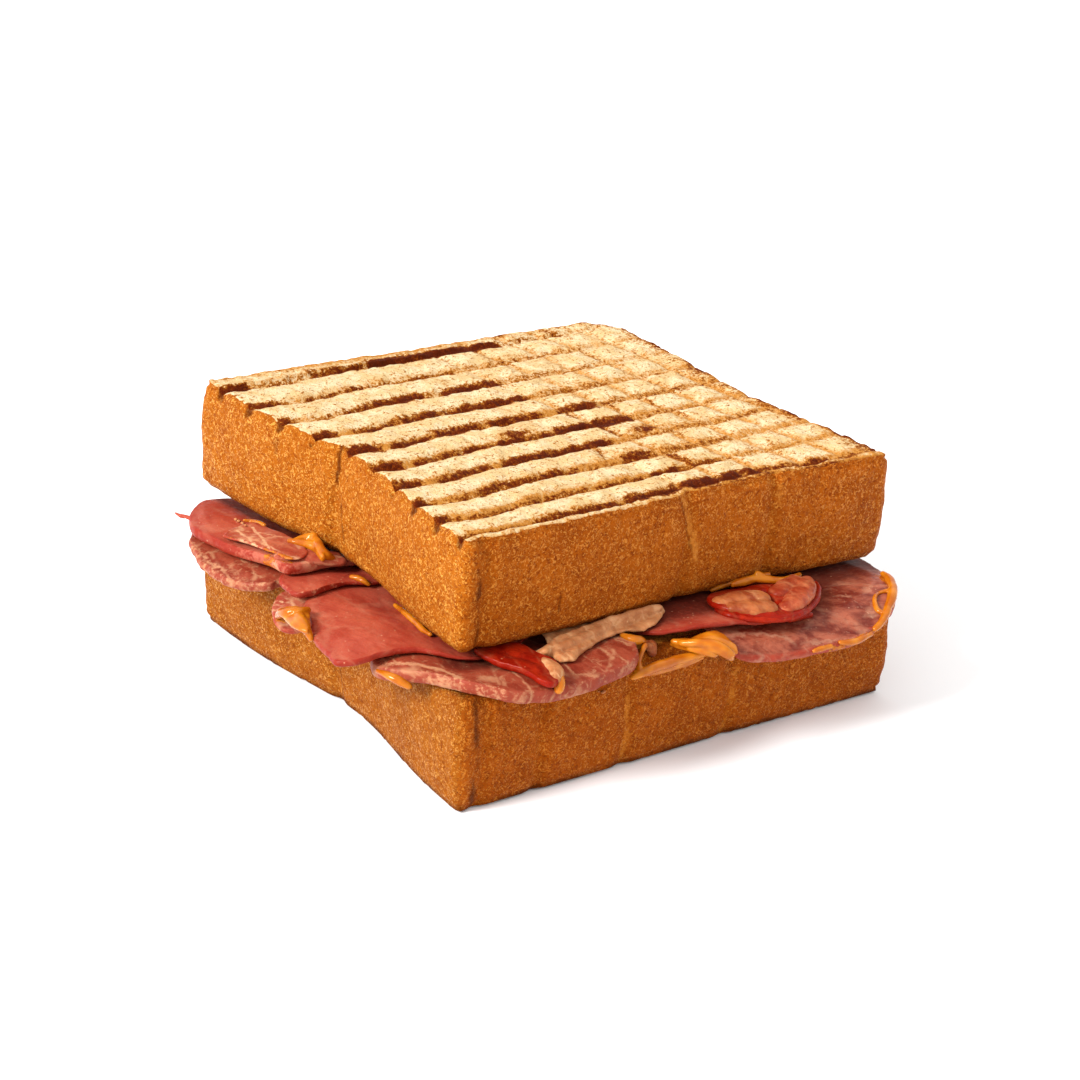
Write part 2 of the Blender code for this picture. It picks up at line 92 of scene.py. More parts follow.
# Grill marks
STRIPE_STRENGTH = 1.42
STRIPE_NEAR = 1.5
STRIPE_FAR = 2.2
HALO_STRENGTH = 0.85
HALO_SHIFT = 0.8
HALO_WIDTH = 1.75
CROSS_GOLD = 0.62
CROSS_WIDTH = 1.7
SPOT_GOLD = 0.7
AREA_GOLD = 0.5

# Meat
SHOWN_DEPTH = 18.0
WIDER_INSIDE = 1.35
RUFFLE = 0.12
SIDE_LEVELS = 4
ARRIS = 0.3
FAR_FROM_EDGE = 4.0
RELAX_ROUNDS = 8
PROBE_HEIGHT = 0.2
THINNEST = 0.2
SIDE_BULGE = 0.10
SIDE_ROUGH = 0.10

LOWER_FORM = {
    "radii": (2.0, 2.0, 13.0, 3.0), "waist_left": 5.5, "waist_right": 3.5, "waist_front": 0.5,
    "crease_left": 1.0, "crease_front": 0.8, "creases": (4.0, 19.5, 43.5, 72.5),
    "back_left": 3.0, "pitch": 11.0, "pitch_growth": 0.0, "grill": 0.5, "plain_rim": 1.0,
    "flat": 0.17, "seed": 40, "name": "lower", "wall_over_face": 6.0,
}
UPPER_FORM = {
    "radii": (1.5, 2.0, 13.0, 2.5), "waist_left": 5.5, "waist_right": 3.5, "waist_front": 2.0,
    "crease_left": 1.2, "crease_front": 1.0, "creases": (4.0, 61.0, 86.0),
    "back_left": 0.0, "pitch": 9.63, "pitch_growth": 0.133, "grill": 1.0, "plain_rim": 0.0,
    "flat": 0.0, "seed": 7, "name": "upper", "wall_over_face": 1.0,
}

# Burnt stretches of each main groove, front to back: start and end along X, darkness, half width
BURNT = (
    ((-1, 4, 0.9, 0.9), (3, 20, 0.55, 0.7), (20, 45, 0.8, 1.2), (45, 62, 1.0, 1.5),
     (62, 86, 1.15, 1.8), (86, 106, 0.8, 1.0), (106, 121, 0.55, 0.6)),
    ((-1, 5, 1.0, 1.3), (5, 60, 0.55, 0.8), (60, 71, 0.9, 1.2), (71, 82, 0.6, 0.9),
     (82, 121, 0.2, 0.7)),
    ((0, 6, 1.0, 1.5), (7, 17, 0.45, 1.1), (17, 48, 0.8, 1.2), (48, 60, 0.35, 0.9),
     (60, 70, 0.8, 1.2), (72, 95, 0.42, 1.2), (95, 118, 0.15, 0.8)),
    ((2, 9, 1.0, 1.6), (12, 31, 0.75, 1.2), (33, 66, 0.98, 1.4), (66, 100, 0.3, 1.2),
     (100, 119, 0.35, 0.8)),
    ((3, 10, 1.0, 1.7), (12, 57, 0.8, 1.1), (57, 80, 1.1, 1.6), (80, 119, 0.32, 0.9)),
    ((4, 11, 1.0, 1.7), (13, 28, 0.8, 1.1), (28, 45, 1.0, 1.6), (45, 62, 0.85, 1.3),
     (66, 78, 0.95, 1.5), (78, 119, 0.35, 1.1)),
    ((3, 7, 1.0, 1.6), (12, 27, 0.8, 1.2), (27, 40, 1.0, 1.6), (40, 66, 0.95, 1.4),
     (66, 92, 0.35, 1.2), (92, 119, 0.2, 0.8)),
    ((0, 5, 1.0, 1.5), (9, 18, 0.45, 0.9), (18, 28, 0.75, 1.2), (28, 45, 1.0, 1.6),
     (48, 66, 0.95, 1.5), (66, 100, 0.3, 1.2)),
    ((0, 10, 0.9, 1.2), (15, 60, 0.6, 0.8), (60, 100, 0.32, 1.3)),
    ((0, 9, 0.9, 1.1), (10, 25, 0.4, 1.0), (25, 42, 0.9, 1.3), (42, 82, 1.25, 1.9),
     (82, 104, 0.3, 1.2)),
)
# Scorched spots: centre, half sizes, lean to the right per unit of depth, darkness
SCORCHED = (
    (72.5, 20.0, 0.9, 6.0, -0.1, 0.9), (68.5, 41.5, 0.9, 4.5, -0.1, 0.9),
    (66.5, 53.5, 0.8, 4.0, -0.1, 0.75), (58.0, 31.0, 0.9, 4.0, 0.3, 0.55),
    (65.0, 25.5, 4.6, 1.8, 0.0, 1.0), (77.0, 38.0, 3.6, 1.7, 0.6, 0.95),
    (47.0, 47.5, 3.5, 1.8, 0.3, 0.85), (83.0, 33.0, 0.7, 2.2, 0.0, 0.6),
    (93.0, 42.5, 0.7, 2.6, -0.1, 0.55), (91.5, 53.0, 0.6, 2.2, -0.1, 0.5),
    (79.5, 53.0, 0.7, 3.0, 0.2, 0.55), (101.0, 63.0, 0.7, 3.2, -0.1, 0.5),
    (101.0, 103.0, 1.4, 4.6, 0.0, 0.6), (86.0, 107.0, 2.4, 1.6, 0.5, 0.8),
    (117.0, 66.0, 1.6, 3.2, 0.0, 0.6), (118.5, 56.0, 1.2, 2.0, 0.0, 0.55),
    (118.5, 45.0, 1.0, 2.4, 0.0, 0.5), (119.0, 35.0, 1.0, 3.0, 0.0, 0.5),
    (33.0, 108.0, 8.0, 0.9, 0.0, 0.5), (60.0, 108.0, 12.0, 0.9, 0.0, 0.55),
    (97.0, 15.5, 0.9, 5.0, 0.7, 0.35), (92.0, 17.0, 0.9, 4.0, 0.7, 0.3),
)
# Golden areas: centre, half sizes, strength
GOLDEN = (
    (36.0, 107.0, 44.0, 3.2, 1.3), (72.0, 92.0, 22.0, 9.0, 0.15), (67.0, 84.0, 16.0, 8.0, 0.3),
    (92.0, 78.0, 16.0, 3.5, 0.55), (84.0, 69.0, 12.0, 2.5, 0.45), (88.0, 37.0, 9.0, 4.0, 0.5),
    (82.0, 27.0, 16.0, 3.0, 0.55), (54.0, 29.0, 8.0, 5.0, 0.45), (90.0, 46.0, 16.0, 2.5, 0.4),
    (66.0, 62.0, 10.0, 5.0, 0.2), (118.0, 60.0, 4.0, 50.0, 0.45), (95.0, 92.0, 20.0, 4.0, 0.3),
)
# Lines down the walls: side, slice, place at the top and bottom, both heights, width, strength, tone
# The dark lines are painted shade in the crust's creases.
WALL_LINES = (
    ("left", "upper", 58.0, 57.0, 28.0, 17.0, 0.6, 1.0, "dark"),
    ("left", "upper", 54.5, 52.5, 14.0, 1.0, 0.6, 1.0, "dark"),
    ("left", "upper", 77.0, 77.0, 22.0, 18.0, 1.2, 0.7, "dark"),
    # Pale line down the near left corner: a painted highlight on that edge.
    ("left", "upper", 3.0, 3.0, 26.0, 0.0, 2.0, 0.45, "pale"),
    ("front", "upper", 4.0, 4.0, 26.0, 0.0, 1.2, 0.8, "dark"),
    ("front", "upper", 25.0, 25.0, 9.5, 5.0, 0.5, 0.9, "dark"),
    ("front", "upper", 59.0, 64.0, 27.0, 9.0, 1.2, 1.1, "pale"),
    ("front", "upper", 57.4, 62.4, 27.0, 12.0, 0.6, 0.8, "dark"),
    ("front", "upper", 88.0, 83.0, 25.0, 3.0, 1.1, 0.95, "pale"),
    ("front", "upper", 86.8, 81.8, 24.0, 10.0, 0.5, 0.6, "dark"),
    ("front", "lower", 4.0, 4.0, 26.0, 0.0, 1.2, 0.8, "dark"),
    ("front", "lower", 19.5, 19.5, 11.0, 1.0, 1.3, 0.85, "pale"),
    ("front", "lower", 43.5, 43.5, 19.0, 1.0, 1.1, 0.95, "pale"),
    ("front", "lower", 74.0, 72.0, 17.0, 0.0, 1.0, 1.15, "pale"),
    ("front", "lower", 75.6, 73.6, 15.0, 2.0, 0.6, 0.5, "dark"),
    ("left", "lower", 56.0, 54.5, 11.0, 1.0, 0.6, 1.0, "dark"),
    # Pale line down the near left corner: a painted highlight on that edge.
    ("left", "lower", 3.0, 3.0, 26.0, 0.0, 2.0, 0.4, "pale"),
)


# Numbers and noise

def smooth(low, high, value):
    """Smooth step from 0 at low to 1 at high."""
    t = np.clip((value - low) / (high - low), 0.0, 1.0)
    return t * t * (3.0 - 2.0 * t)


def bell(value, centre, width):
    """Bell curve of height 1."""
    return np.exp(-((value - centre) / width) ** 2)


def dice(ix, iy, iz, seed):
    """Repeatable number from 0 to 1 for each lattice point."""
    mixed = (ix * 374761393 + iy * 668265263 + iz * 1440662683 + seed * 1274126177) & 0xFFFFFFFF
    mixed = ((mixed ^ (mixed >> 13)) * 1274126177) & 0xFFFFFFFF
    return ((mixed ^ (mixed >> 16)) & 0xFFFF) / 65535.0


def lumps(points, size, seed):
    """Smooth noise from -1 to 1 with lumps of the given size, at N x 3 points."""
    scaled = points / size
    cell = np.floor(scaled).astype(np.int64)
    part = scaled - cell
    part = part * part * (3.0 - 2.0 * part)
    total = np.zeros(len(points))
    for corner in product((0, 1), repeat=3):
        share = np.ones(len(points))
        for axis in range(3):
            share = share * (part[:, axis] if corner[axis] else 1.0 - part[:, axis])
        total += share * dice(*(cell[:, axis] + corner[axis] for axis in range(3)), seed)
    return 2.0 * total - 1.0


def lumps_2d(x, y, size, seed):
    """Smooth plan noise from -1 to 1 on arrays of any one shape."""
    flat = np.stack([np.ravel(x), np.ravel(y), np.full(np.size(x), 0.37 * size)], axis=1)
    return lumps(flat, size, seed).reshape(np.shape(x))


def place(points):
    """Metres in the frame from plan millimetres."""
    centre = np.array([SLICE_WIDTH / 2, SLICE_DEPTH / 2, 0.0])
    return (np.asarray(points, float) - centre) * MM


def settle(piece, node):
    """Lets a piece ride on the sandwich, in the place of its CAD node, which it hides."""
    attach(piece, "root")
    if node:
        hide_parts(node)


def add_mesh(name, points, faces, finish, node, marks):
    """Piece from frame metres, with its marks as point attributes."""
    mesh = bpy.data.meshes.new(name)
    mesh.from_pydata(points.tolist(), [], faces)
    mesh.materials.append(finish)
    mesh.shade_smooth()
    for mark, values in marks.items():
        layer = mesh.attributes.new(mark, "FLOAT", "POINT")
        layer.data.foreach_set("value", values.astype(np.float32))
    piece = bpy.data.objects.new(name, mesh)
    bpy.context.scene.collection.objects.link(piece)
    settle(piece, node)


def band(a, b):
    """Quads between two rings of indices."""
    return np.stack([a, b, np.roll(b, -1), np.roll(a, -1)], axis=1)


# Materials

class Look:
    """Node material of one food, built a step at a time over positions in millimetres."""

    def __init__(self, name):
        self.material = bpy.data.materials.new(name)
        self.material.use_nodes = True
        self.tree = self.material.node_tree
        where = self.add("TexCoord", "Object", {})
        self.where = self.add("VectorMath", 0, {0: where, "Scale": 1.0 / MM}, operation="SCALE")

    def put(self, socket, value):
        """Sets a socket's value, or links it."""
        if isinstance(value, bpy.types.NodeSocket):
            self.tree.links.new(value, socket)
        elif socket.type == "RGBA":
            socket.default_value = (*value, 1.0)
        else:
            socket.default_value = value

    def add(self, kind, output, inputs, **settings):
        """Output of a new node with the given settings and inputs."""
        made = self.tree.nodes.new("ShaderNode" + kind)
        for name, value in settings.items():
            setattr(made, name, value)
        for socket, value in inputs.items():
            self.put(made.inputs[socket], value)
        return made.outputs[output]

    def plus(self, a, b):
        """Sum of two numbers."""
        return self.add("Math", 0, {0: a, 1: b}, operation="ADD")

    def minus(self, a, b):
        """Difference of two numbers."""
        return self.add("Math", 0, {0: a, 1: b}, operation="SUBTRACT")

    def times(self, a, b):
        """Product of two numbers."""
        return self.add("Math", 0, {0: a, 1: b}, operation="MULTIPLY")

    def noise(self, size, detail=3.0, rough=0.55, bend=0.0, where=None):
        """Cloudy noise about 0.5 with lumps of the given size in millimetres."""
        return self.add("TexNoise", 0, {"Scale": 1.0 / size, "Detail": detail, "Roughness": rough,
                                        "Distortion": bend, "Vector": where or self.where})

    def cells(self, size, feature="F1", where=None):
        """Distance within cells of the given size in millimetres."""
        return self.add("TexVoronoi", 0, {"Scale": 1.0 / size, "Vector": where or self.where},
                        feature=feature)

    def stretched(self, along, turn_deg):
        """Positions squeezed along one direction in plan."""
        return self.add("Mapping", 0, {"Rotation": (0.0, 0.0, math.radians(turn_deg)),
                                       "Scale": (1.0, along, 1.0), "Vector": self.where},
                        vector_type="TEXTURE")

    def mark(self, name, noise=None, share=1.0):
        """Point attribute of the mesh, made uneven by a share of a noise."""
        mark = self.add("Attribute", "Fac", {}, attribute_name=name)
        return mark if noise is None else self.plus(mark, self.times(noise, share))

    def step(self, value, low, high):
        """0 below low and 1 above high, or the other way round, with a soft change between."""
        inputs = {"Value": value, "From Min": min(low, high), "From Max": max(low, high),
                  "To Min": float(low > high), "To Max": float(low < high)}
        return self.add("MapRange", "Result", inputs, interpolation_type="SMOOTHSTEP", clamp=True)

    def mix(self, share, a, b):
        """Colour a turning into colour b."""
        return self.add("Mix", 2, {0: share, 6: a, 7: b}, data_type="RGBA")

    def cover(self, under, over, value, low, high, share=None):
        """A colour covered by another, up to a share, where a value goes from low to high."""
        amount = self.step(value, low, high)
        return self.mix(amount if share is None else self.times(amount, share), under, over)

    def bump(self, height, depth_mm, strength=1.0, below=None):
        """Fine relief of the given depth."""
        inputs = {"Strength": strength, "Distance": depth_mm * MM, "Height": height}
        if below is not None:
            inputs["Normal"] = below
        return self.add("Bump", 0, inputs)

    def finish(self, colour, roughness, normal=None, **fixed):
        """Links the shader's sockets and returns the material."""
        shader = self.tree.nodes["Principled BSDF"]
        self.put(shader.inputs["Base Color"], colour)
        self.put(shader.inputs["Roughness"], roughness)
        if normal is not None:
            self.put(shader.inputs["Normal"], normal)
        for name, value in fixed.items():
            self.put(shader.inputs[name.replace("_", " ")], value)
        return self.material


CREAM = (0.63, 0.435, 0.205)
CREAM_PALE = (0.70, 0.55, 0.325)
GOLD = (0.49, 0.20, 0.034)
TOAST = (0.27, 0.076, 0.006)
CHAR = (0.12, 0.014, 0.0008)
CHAR_DEEP = (0.065, 0.005, 0.0003)
CREASE_SHADE_AND_CHAR = (0.085, 0.014, 0.001)
SAUCE_DEEP = (0.35, 0.080, 0.002)
SAUCE_PALE = (0.49, 0.155, 0.006)
SAUCE_SPECK = (0.36, 0.07, 0.006)
SHADOW_RED = (0.075, 0.008, 0.0035)
MARBLE_PINK = (0.40, 0.105, 0.062)


def bread_look(name, lit_left_tones, shaded_other_tones):
    """Bread: crumb with grilled stripes on the faces, and brown crust painted lighter and yellower on its
    left-facing side as painted light, darker and redder elsewhere as painted shade.
    """
    look = Look(name)
    fine = look.noise(0.5, 3.0, 0.65)
    grain = look.noise(1.1, 4.0, 0.65)
    speckle = look.minus(grain, 0.5)
    ragged = look.plus(look.times(speckle, 2.4), look.times(look.minus(fine, 0.5), 1.9))

    crumb = look.cover(CREAM, CREAM_PALE, look.noise(4.5, 4.0, 0.6), 0.40, 0.60)
    golden = look.mark("golden", ragged, 0.55)
    crumb = look.cover(crumb, GOLD, golden, 0.10, 0.75)
    crumb = look.cover(crumb, TOAST, golden, 0.65, 1.25)
    burnt = look.plus(look.mark("burnt"), ragged)
    crumb = look.cover(crumb, GOLD, burnt, 0.12, 0.42)
    crumb = look.cover(crumb, TOAST, burnt, 0.25, 0.60)
    crumb = look.cover(crumb, CHAR, burnt, 0.50, 0.95)
    crumb = look.cover(crumb, CHAR_DEEP, burnt, 0.90, 1.45)

    # Painted light and shade: the lighter left tones where the light falls, the darker other tones on the
    # other sides.
    plain, light, dark = (look.mix(look.mark("shaded_side"), a, b)
                          for a, b in zip(lit_left_tones, shaded_other_tones))
    strands = look.noise(0.8, 2.0, 0.55, bend=1.6)
    skin = look.cover(plain, dark, look.noise(8.0, 4.0, 0.65), 0.35, 0.7, share=0.5)
    skin = look.cover(skin, dark, look.noise(0.9, 3.0, 0.65), 0.50, 0.34, share=0.9)
    # Light strands: partly the crust's own colour, partly painted glints on the glossy strands.
    skin = look.cover(skin, light, strands, 0.52, 0.64, share=0.8)
    # Painted shade in the creases, together with the dark notches, the scorched grilled rim and the
    # darker top rim.
    skin = look.cover(skin, CREASE_SHADE_AND_CHAR, look.mark("deep", speckle, 0.8), 0.2, 0.95, share=0.9)
    # Pale streaks, with a painted highlight down the near left corner.
    skin = look.cover(skin, light, look.mark("pale", speckle, 2.2), 0.3, 1.15, share=0.75)

    wall = look.step(look.mark("wall", speckle, 0.8), 0.4, 0.6)
    colour = look.mix(wall, crumb, skin)
    relief = look.plus(look.times(grain, 0.8), look.times(fine, 0.5))
    normal = look.bump(relief, 0.75)
    normal = look.bump(strands, 0.40, 0.8, below=normal)
    glint = look.times(wall, look.step(strands, 0.45, 0.62))
    rough = look.minus(0.88, look.times(glint, 0.45))
    return look.finish(colour, rough, normal, Specular_IOR_Level=0.2,
                       Specular_Tint=(1.0, 0.5, 0.15))


def ham_look(name, deep, light, fat_and_sheen, rim, marbling, streak=0.0, grain=3.0, turn_deg=0.0,
             shine=0.04, tint=(1.0, 0.75, 0.65)):
    """Moist meat: two pinks, veins of fat, and another tone at the cut edge."""
    look = Look(name)
    bent = look.stretched(2.2, turn_deg)
    cloud = look.noise(grain * 1.6, 4.0, 0.6, bend=0.6, where=bent)
    colour = look.cover(deep, light, cloud, 0.35, 0.68)
    drift = look.add("VectorMath", 0, {0: look.noise(grain, 3.0, 0.6), "Scale": grain * 0.9},
                     operation="SCALE")
    drifted = look.add("VectorMath", 0, {0: bent, 1: drift}, operation="ADD")
    veins = look.step(look.cells(grain * 2.4, "DISTANCE_TO_EDGE", where=drifted), 0.10, 0.0)
    veins = look.times(veins, look.step(look.noise(grain * 2.0, 2.0), 0.38, 0.62))
    patches = look.step(look.noise(grain * 1.2, 3.0, 0.6, bend=1.0), 0.62 - 0.12 * streak, 0.72)
    fatty = look.add("Math", 0, {0: veins, 1: look.times(patches, streak)}, operation="MAXIMUM")

    flecks = look.minus(look.noise(1.1, 3.0, 0.6), 0.5)
    edge = look.plus(look.mark("edge"), look.noise(1.2, 3.0))
    colour = look.cover(colour, rim, edge, 1.25, 0.55, share=0.85)
    marbled = look.step(look.mark("marble", flecks, 1.2), 0.35, 0.65)
    share = look.plus(marbling, look.times(marbled, 0.75 - 0.75 * marbling))
    colour = look.mix(look.times(marbled, 0.8), colour, MARBLE_PINK)
    colour = look.mix(look.times(fatty, share), colour, fat_and_sheen)
    # Strokes in the fat tone: real fat, and on ham_right painted sheen highlights.
    colour = look.cover(colour, fat_and_sheen, look.mark("fat_and_sheen", flecks, 1.6), 0.35, 0.75, share=0.9)
    dark = look.step(look.mark("shade", flecks, 0.6), 0.15, 0.95)
    colour = look.mix(look.times(dark, 0.88), colour, SHADOW_RED)
    smear = look.step(look.mark("sauce", flecks, 1.8), 0.42, 0.62)
    tone = look.cover(SAUCE_DEEP, SAUCE_PALE, look.noise(2.0), 0.4, 0.65)
    colour = look.mix(look.times(smear, 0.92), colour, tone)

    fibres = look.noise(0.5, 3.0, 0.6, where=look.stretched(4.0, turn_deg + 20.0))
    colour = look.cover(colour, light, fibres, 0.52, 0.72, share=0.35)
    colour = look.cover(colour, deep, fibres, 0.47, 0.30, share=0.40)
    # Small light dots in the fat tone: partly fat specks, partly painted glints.
    dots = look.step(look.cells(1.7), 0.16, 0.07)
    dots = look.times(dots, look.step(look.noise(5.0, 2.0), 0.45, 0.6))
    colour = look.mix(look.times(dots, 0.6), colour, fat_and_sheen)

    relief = look.plus(look.times(fibres, 0.4), look.noise(1.6, 3.0, 0.55))
    relief = look.plus(relief, look.times(smear, 0.8))
    normal = look.bump(relief, 0.28, 0.7)
    wet = look.step(look.noise(4.0, 3.0, 0.6), 0.3, 0.7)
    rough = look.plus(0.34, look.times(wet, 0.25))
    rough = look.minus(rough, look.times(smear, 0.15))
    rough = look.plus(rough, look.times(dark, 0.35))
    return look.finish(colour, rough, normal, Subsurface_Weight=0.12, Specular_IOR_Level=0.13,
                       Subsurface_Radius=(1.0, 0.25, 0.15), Subsurface_Scale=0.001,
                       Specular_Tint=tint, Coat_Weight=shine, Coat_Roughness=0.2)


def sauce_look(name):
    """Thick glossy orange sauce."""
    look = Look(name)
    cloud = look.noise(3.0, 1.0, 0.5)
    tone = look.cover(SAUCE_DEEP, SAUCE_PALE, cloud, 0.3, 0.75)
    tone = look.cover(tone, SAUCE_SPECK, look.cells(1.3), 0.12, 0.04, share=0.4)
    normal = look.bump(look.noise(1.4, 2.0, 0.5), 0.14, 0.4)
    rough = look.plus(0.16, look.times(cloud, 0.1))
    return look.finish(tone, rough, normal, Subsurface_Weight=0.2, Specular_IOR_Level=0.35,
                       Subsurface_Radius=(1.0, 0.45, 0.12), Subsurface_Scale=0.0015,
                       Specular_Tint=(1.0, 0.7, 0.4), Coat_Weight=0.15, Coat_Roughness=0.08)


# Bread slices

def corner_pull(radius, along):
    """How far a side stands back at the distance along from a rounded corner."""
    near = np.clip(along, 0.0, radius)
    return radius - np.sqrt(radius * radius - (radius - near) ** 2)


def bread_plan(u, v, form):
    """Plan position of a point of the slice, pulled in by waists, rounded corners and creases."""
    radii = form["radii"]
    left = form["waist_left"] * bell(v, 50.0, 27.0) + form["crease_left"] * bell(v, 57.0, 2.2)
    left = left + np.maximum(corner_pull(radii[0], v), corner_pull(radii[3], SLICE_DEPTH - v))
    right = form["waist_right"] * bell(v, 48.0, 30.0)
    right = right + np.maximum(corner_pull(radii[1], v), corner_pull(radii[2], SLICE_DEPTH - v))
    front = form["waist_front"] * bell(u, 74.0, 26.0)
    for crease in form["creases"]:
        front = front + form["crease_front"] * bell(u, crease, 1.8)
    fade = SLICE_WIDTH * 0.35
    across = left * np.clip(1 - u / fade, 0, None)
    across = across - right * np.clip(1 - (SLICE_WIDTH - u) / fade, 0, None)
    back = form["back_left"] * np.clip(1 - u / 60.0, 0, None)
    back = back * np.clip(1 - (SLICE_DEPTH - v) / 20.0, 0, None)
    return u + across, v + front * np.clip(1 - v / 20.0, 0, None) + back


def bow(u):
    """How far the main grooves bend back at a place along X."""
    return GROOVE_DRIFT * u / SLICE_WIDTH - GROOVE_DIP * bell(u, 13.0, 11.0)


def groove_count(u, v, form):
    """Pitches from the first main groove to a point, and the pitch in millimetres there."""
    base = v + 0.0
    for _ in range(4):
        inside = smooth(0.0, 12.0, base) * smooth(0.0, 12.0, SLICE_DEPTH - base)
        base = v - bow(u) * inside
    growth, pitch = form["pitch_growth"], form["pitch"]
    if growth:
        root = np.sqrt(np.clip(pitch * pitch - 4.0 * growth * (GROOVE_FIRST - base), 0.0, None))
        turn = (root - pitch) / (2.0 * growth)
    else:
        turn = (base - GROOVE_FIRST) / pitch
    return turn, pitch + 2.0 * growth * turn


def from_rim(u, v):
    """Distance from the nearest side of the slice."""
    return np.minimum(np.minimum(u, SLICE_WIDTH - u), np.minimum(v, SLICE_DEPTH - v))


def grill_relief(u, v, form):
    """Drop of the grilled face below its highest level."""
    turn, _ = groove_count(u, v, form)
    turn = turn + 0.035 * lumps_2d(u, v, 5.0, form["seed"] + 1)
    crest = np.abs(np.sin(math.pi * turn)) ** CREST_POWER
    main = np.where((turn > -0.1) & (turn < GROOVES - 0.9), 1.0 - crest, 0.1)
    strength = (1.0 - 0.35 * smooth(50.0, 95.0, u) - 0.35 * smooth(98.0, 118.0, u)) * form["grill"]
    strength = strength * (1.0 - form["plain_rim"] * (1.0 - smooth(0.0, 6.0, from_rim(u, v))))
    lean = (u - CROSS_LEAN * v - CROSS_FIRST) / CROSS_PITCH + 0.03 * lumps_2d(u, v, 6.0, form["seed"] + 2)
    cross = 1.0 - np.abs(np.sin(math.pi * lean)) ** CREST_POWER
    crossed = smooth(CROSS_START, CROSS_START + 14.0, u) * smooth(0.0, 6.0, from_rim(u, v))
    drop = np.maximum(GROOVE_DEPTH * strength * main, CROSS_DEPTH * crossed * form["grill"] * cross)
    return np.clip(drop - form["flat"], 0.0, None)


def groove_marks(u, v, form, wander, uneven):
    """Burnt stretches in the main grooves, and the golden bands beside them."""
    burnt, golden = np.zeros(u.shape), np.zeros(u.shape)
    turn, pitch = groove_count(u, v, form)
    for k, stretches in enumerate(BURNT):
        away = (turn - k) * pitch + wander
        for start, end, dark, half in stretches:
            begin = smooth(start - 1.5, start + 1.5, u) if start > 4.5 else 1.0
            along = begin * (1.0 - smooth(end - 3.0, end + 2.0, u))
            reach = np.where(away > 0.0, STRIPE_FAR * half, STRIPE_NEAR * half)
            across = 1.0 - smooth(0.25, 1.0, np.abs(away) / reach)
            burnt = np.maximum(burnt, STRIPE_STRENGTH * dark * along * across * uneven)
        halo = bell(away, HALO_SHIFT, HALO_WIDTH) * smooth(-2.0, 6.0, u)
        halo = halo * (1.0 - 0.2 * smooth(60.0, 80.0, u))
        golden = np.maximum(golden, HALO_STRENGTH * halo * (1.0 - 0.4 * smooth(55.0, 85.0, v)))
    return burnt, golden


def cross_marks(u, v, form, wander, burnt, golden):
    """Adds the golden lines across the grooves, burnt here and there."""
    lean = (u - CROSS_LEAN * v - CROSS_FIRST) / CROSS_PITCH
    aside = (lean - np.round(lean)) * CROSS_PITCH + 0.5 * wander
    reach = smooth(62.0, 74.0, u) * (1.0 - 0.4 * smooth(104.0, 116.0, u)) + 0.5 * smooth(46.0, 52.0, u)
    line = np.clip(reach, 0, 1) * bell(aside, 0.0, CROSS_WIDTH)
    golden = np.maximum(golden, CROSS_GOLD * line * (1.0 - 0.25 * smooth(55.0, 85.0, v)))
    burnt = np.maximum(burnt, line * np.clip(0.55 * lumps_2d(u, v, 7.0, form["seed"] + 12), 0, 1))
    return burnt, golden


def spot_marks(u, v, burnt, golden):
    """Adds the scorched spots and the golden areas."""
    for x, y, half_x, half_y, slant, dark in SCORCHED:
        away = ((u - x - slant * (v - y)) / half_x) ** 2 + ((v - y) / half_y) ** 2
        burnt = np.maximum(burnt, dark * np.exp(-0.8 * away ** 1.5))
        golden = np.maximum(golden, SPOT_GOLD * dark * np.exp(-0.25 * away))
    for x, y, half_x, half_y, tone in GOLDEN:
        away = ((u - x) / half_x) ** 2 + ((v - y) / half_y) ** 2
        golden = golden + AREA_GOLD * tone * np.exp(-away) * (1.0 - golden)
    return burnt, golden


def rim_marks(u, v, form, uneven, burnt, golden):
    """Adds the golden and burnt rims of the grilled face."""
    golden = golden + 0.3 * np.exp(-from_rim(u, v) / 1.6) + 0.5 * np.exp(-v / 1.3)
    golden = golden + 0.6 * smooth(52.0, 66.0, u) * np.exp(-v / 2.4)
    ragged = 0.7 + 0.9 * lumps_2d(u, v, 5.0, form["seed"] + 14)
    burnt = np.maximum(burnt, 1.5 * ragged * np.exp(-(SLICE_WIDTH - u) / 2.6) * (v > 3.0))
    burnt = np.maximum(burnt, 0.7 * ragged * np.exp(-(SLICE_DEPTH - v) / 1.2))
    front = smooth(62.0, 68.0, u) * (1.0 - smooth(104.0, 112.0, u))
    return np.maximum(burnt, 1.15 * front * uneven * np.exp(-v / 2.0)), golden


def burnt_marks(u, v, form):
    """How burnt and how golden each point of the grilled face is."""
    seed = form["seed"]
    wander = 0.5 * lumps_2d(u, v, 4.0, seed + 3) + 0.45 * lumps_2d(u, v, 1.5, seed + 11)
    uneven = 0.85 + 0.4 * lumps_2d(u, v, 2.6, seed + 13)
    burnt, golden = groove_marks(u, v, form, wander, uneven)
    burnt, golden = cross_marks(u, v, form, wander, burnt, golden)
    burnt, golden = spot_marks(u, v, burnt, golden)
    return rim_marks(u, v, form, uneven, burnt, golden)


def ring_of(columns, rows):
    """Grid indices of the rim, counter-clockwise from the near left corner."""
    i = np.concatenate([np.arange(columns), np.full(rows - 1, columns - 1),
                        np.arange(columns - 2, -1, -1), np.zeros(rows - 2, int)])
    j = np.concatenate([np.zeros(columns, int), np.arange(1, rows),
                        np.full(columns - 1, rows - 1), np.arange(rows - 2, 0, -1)])
    return i, j


def outward(ring):
    """Unit plan vectors pointing out of a closed counter-clockwise ring."""
    along = np.roll(ring, -2, axis=0) - np.roll(ring, 2, axis=0)
    length = np.maximum(np.linalg.norm(along, axis=1), 1e-9)
    return np.stack([along[:, 1], -along[:, 0]], axis=1) / length[:, None]


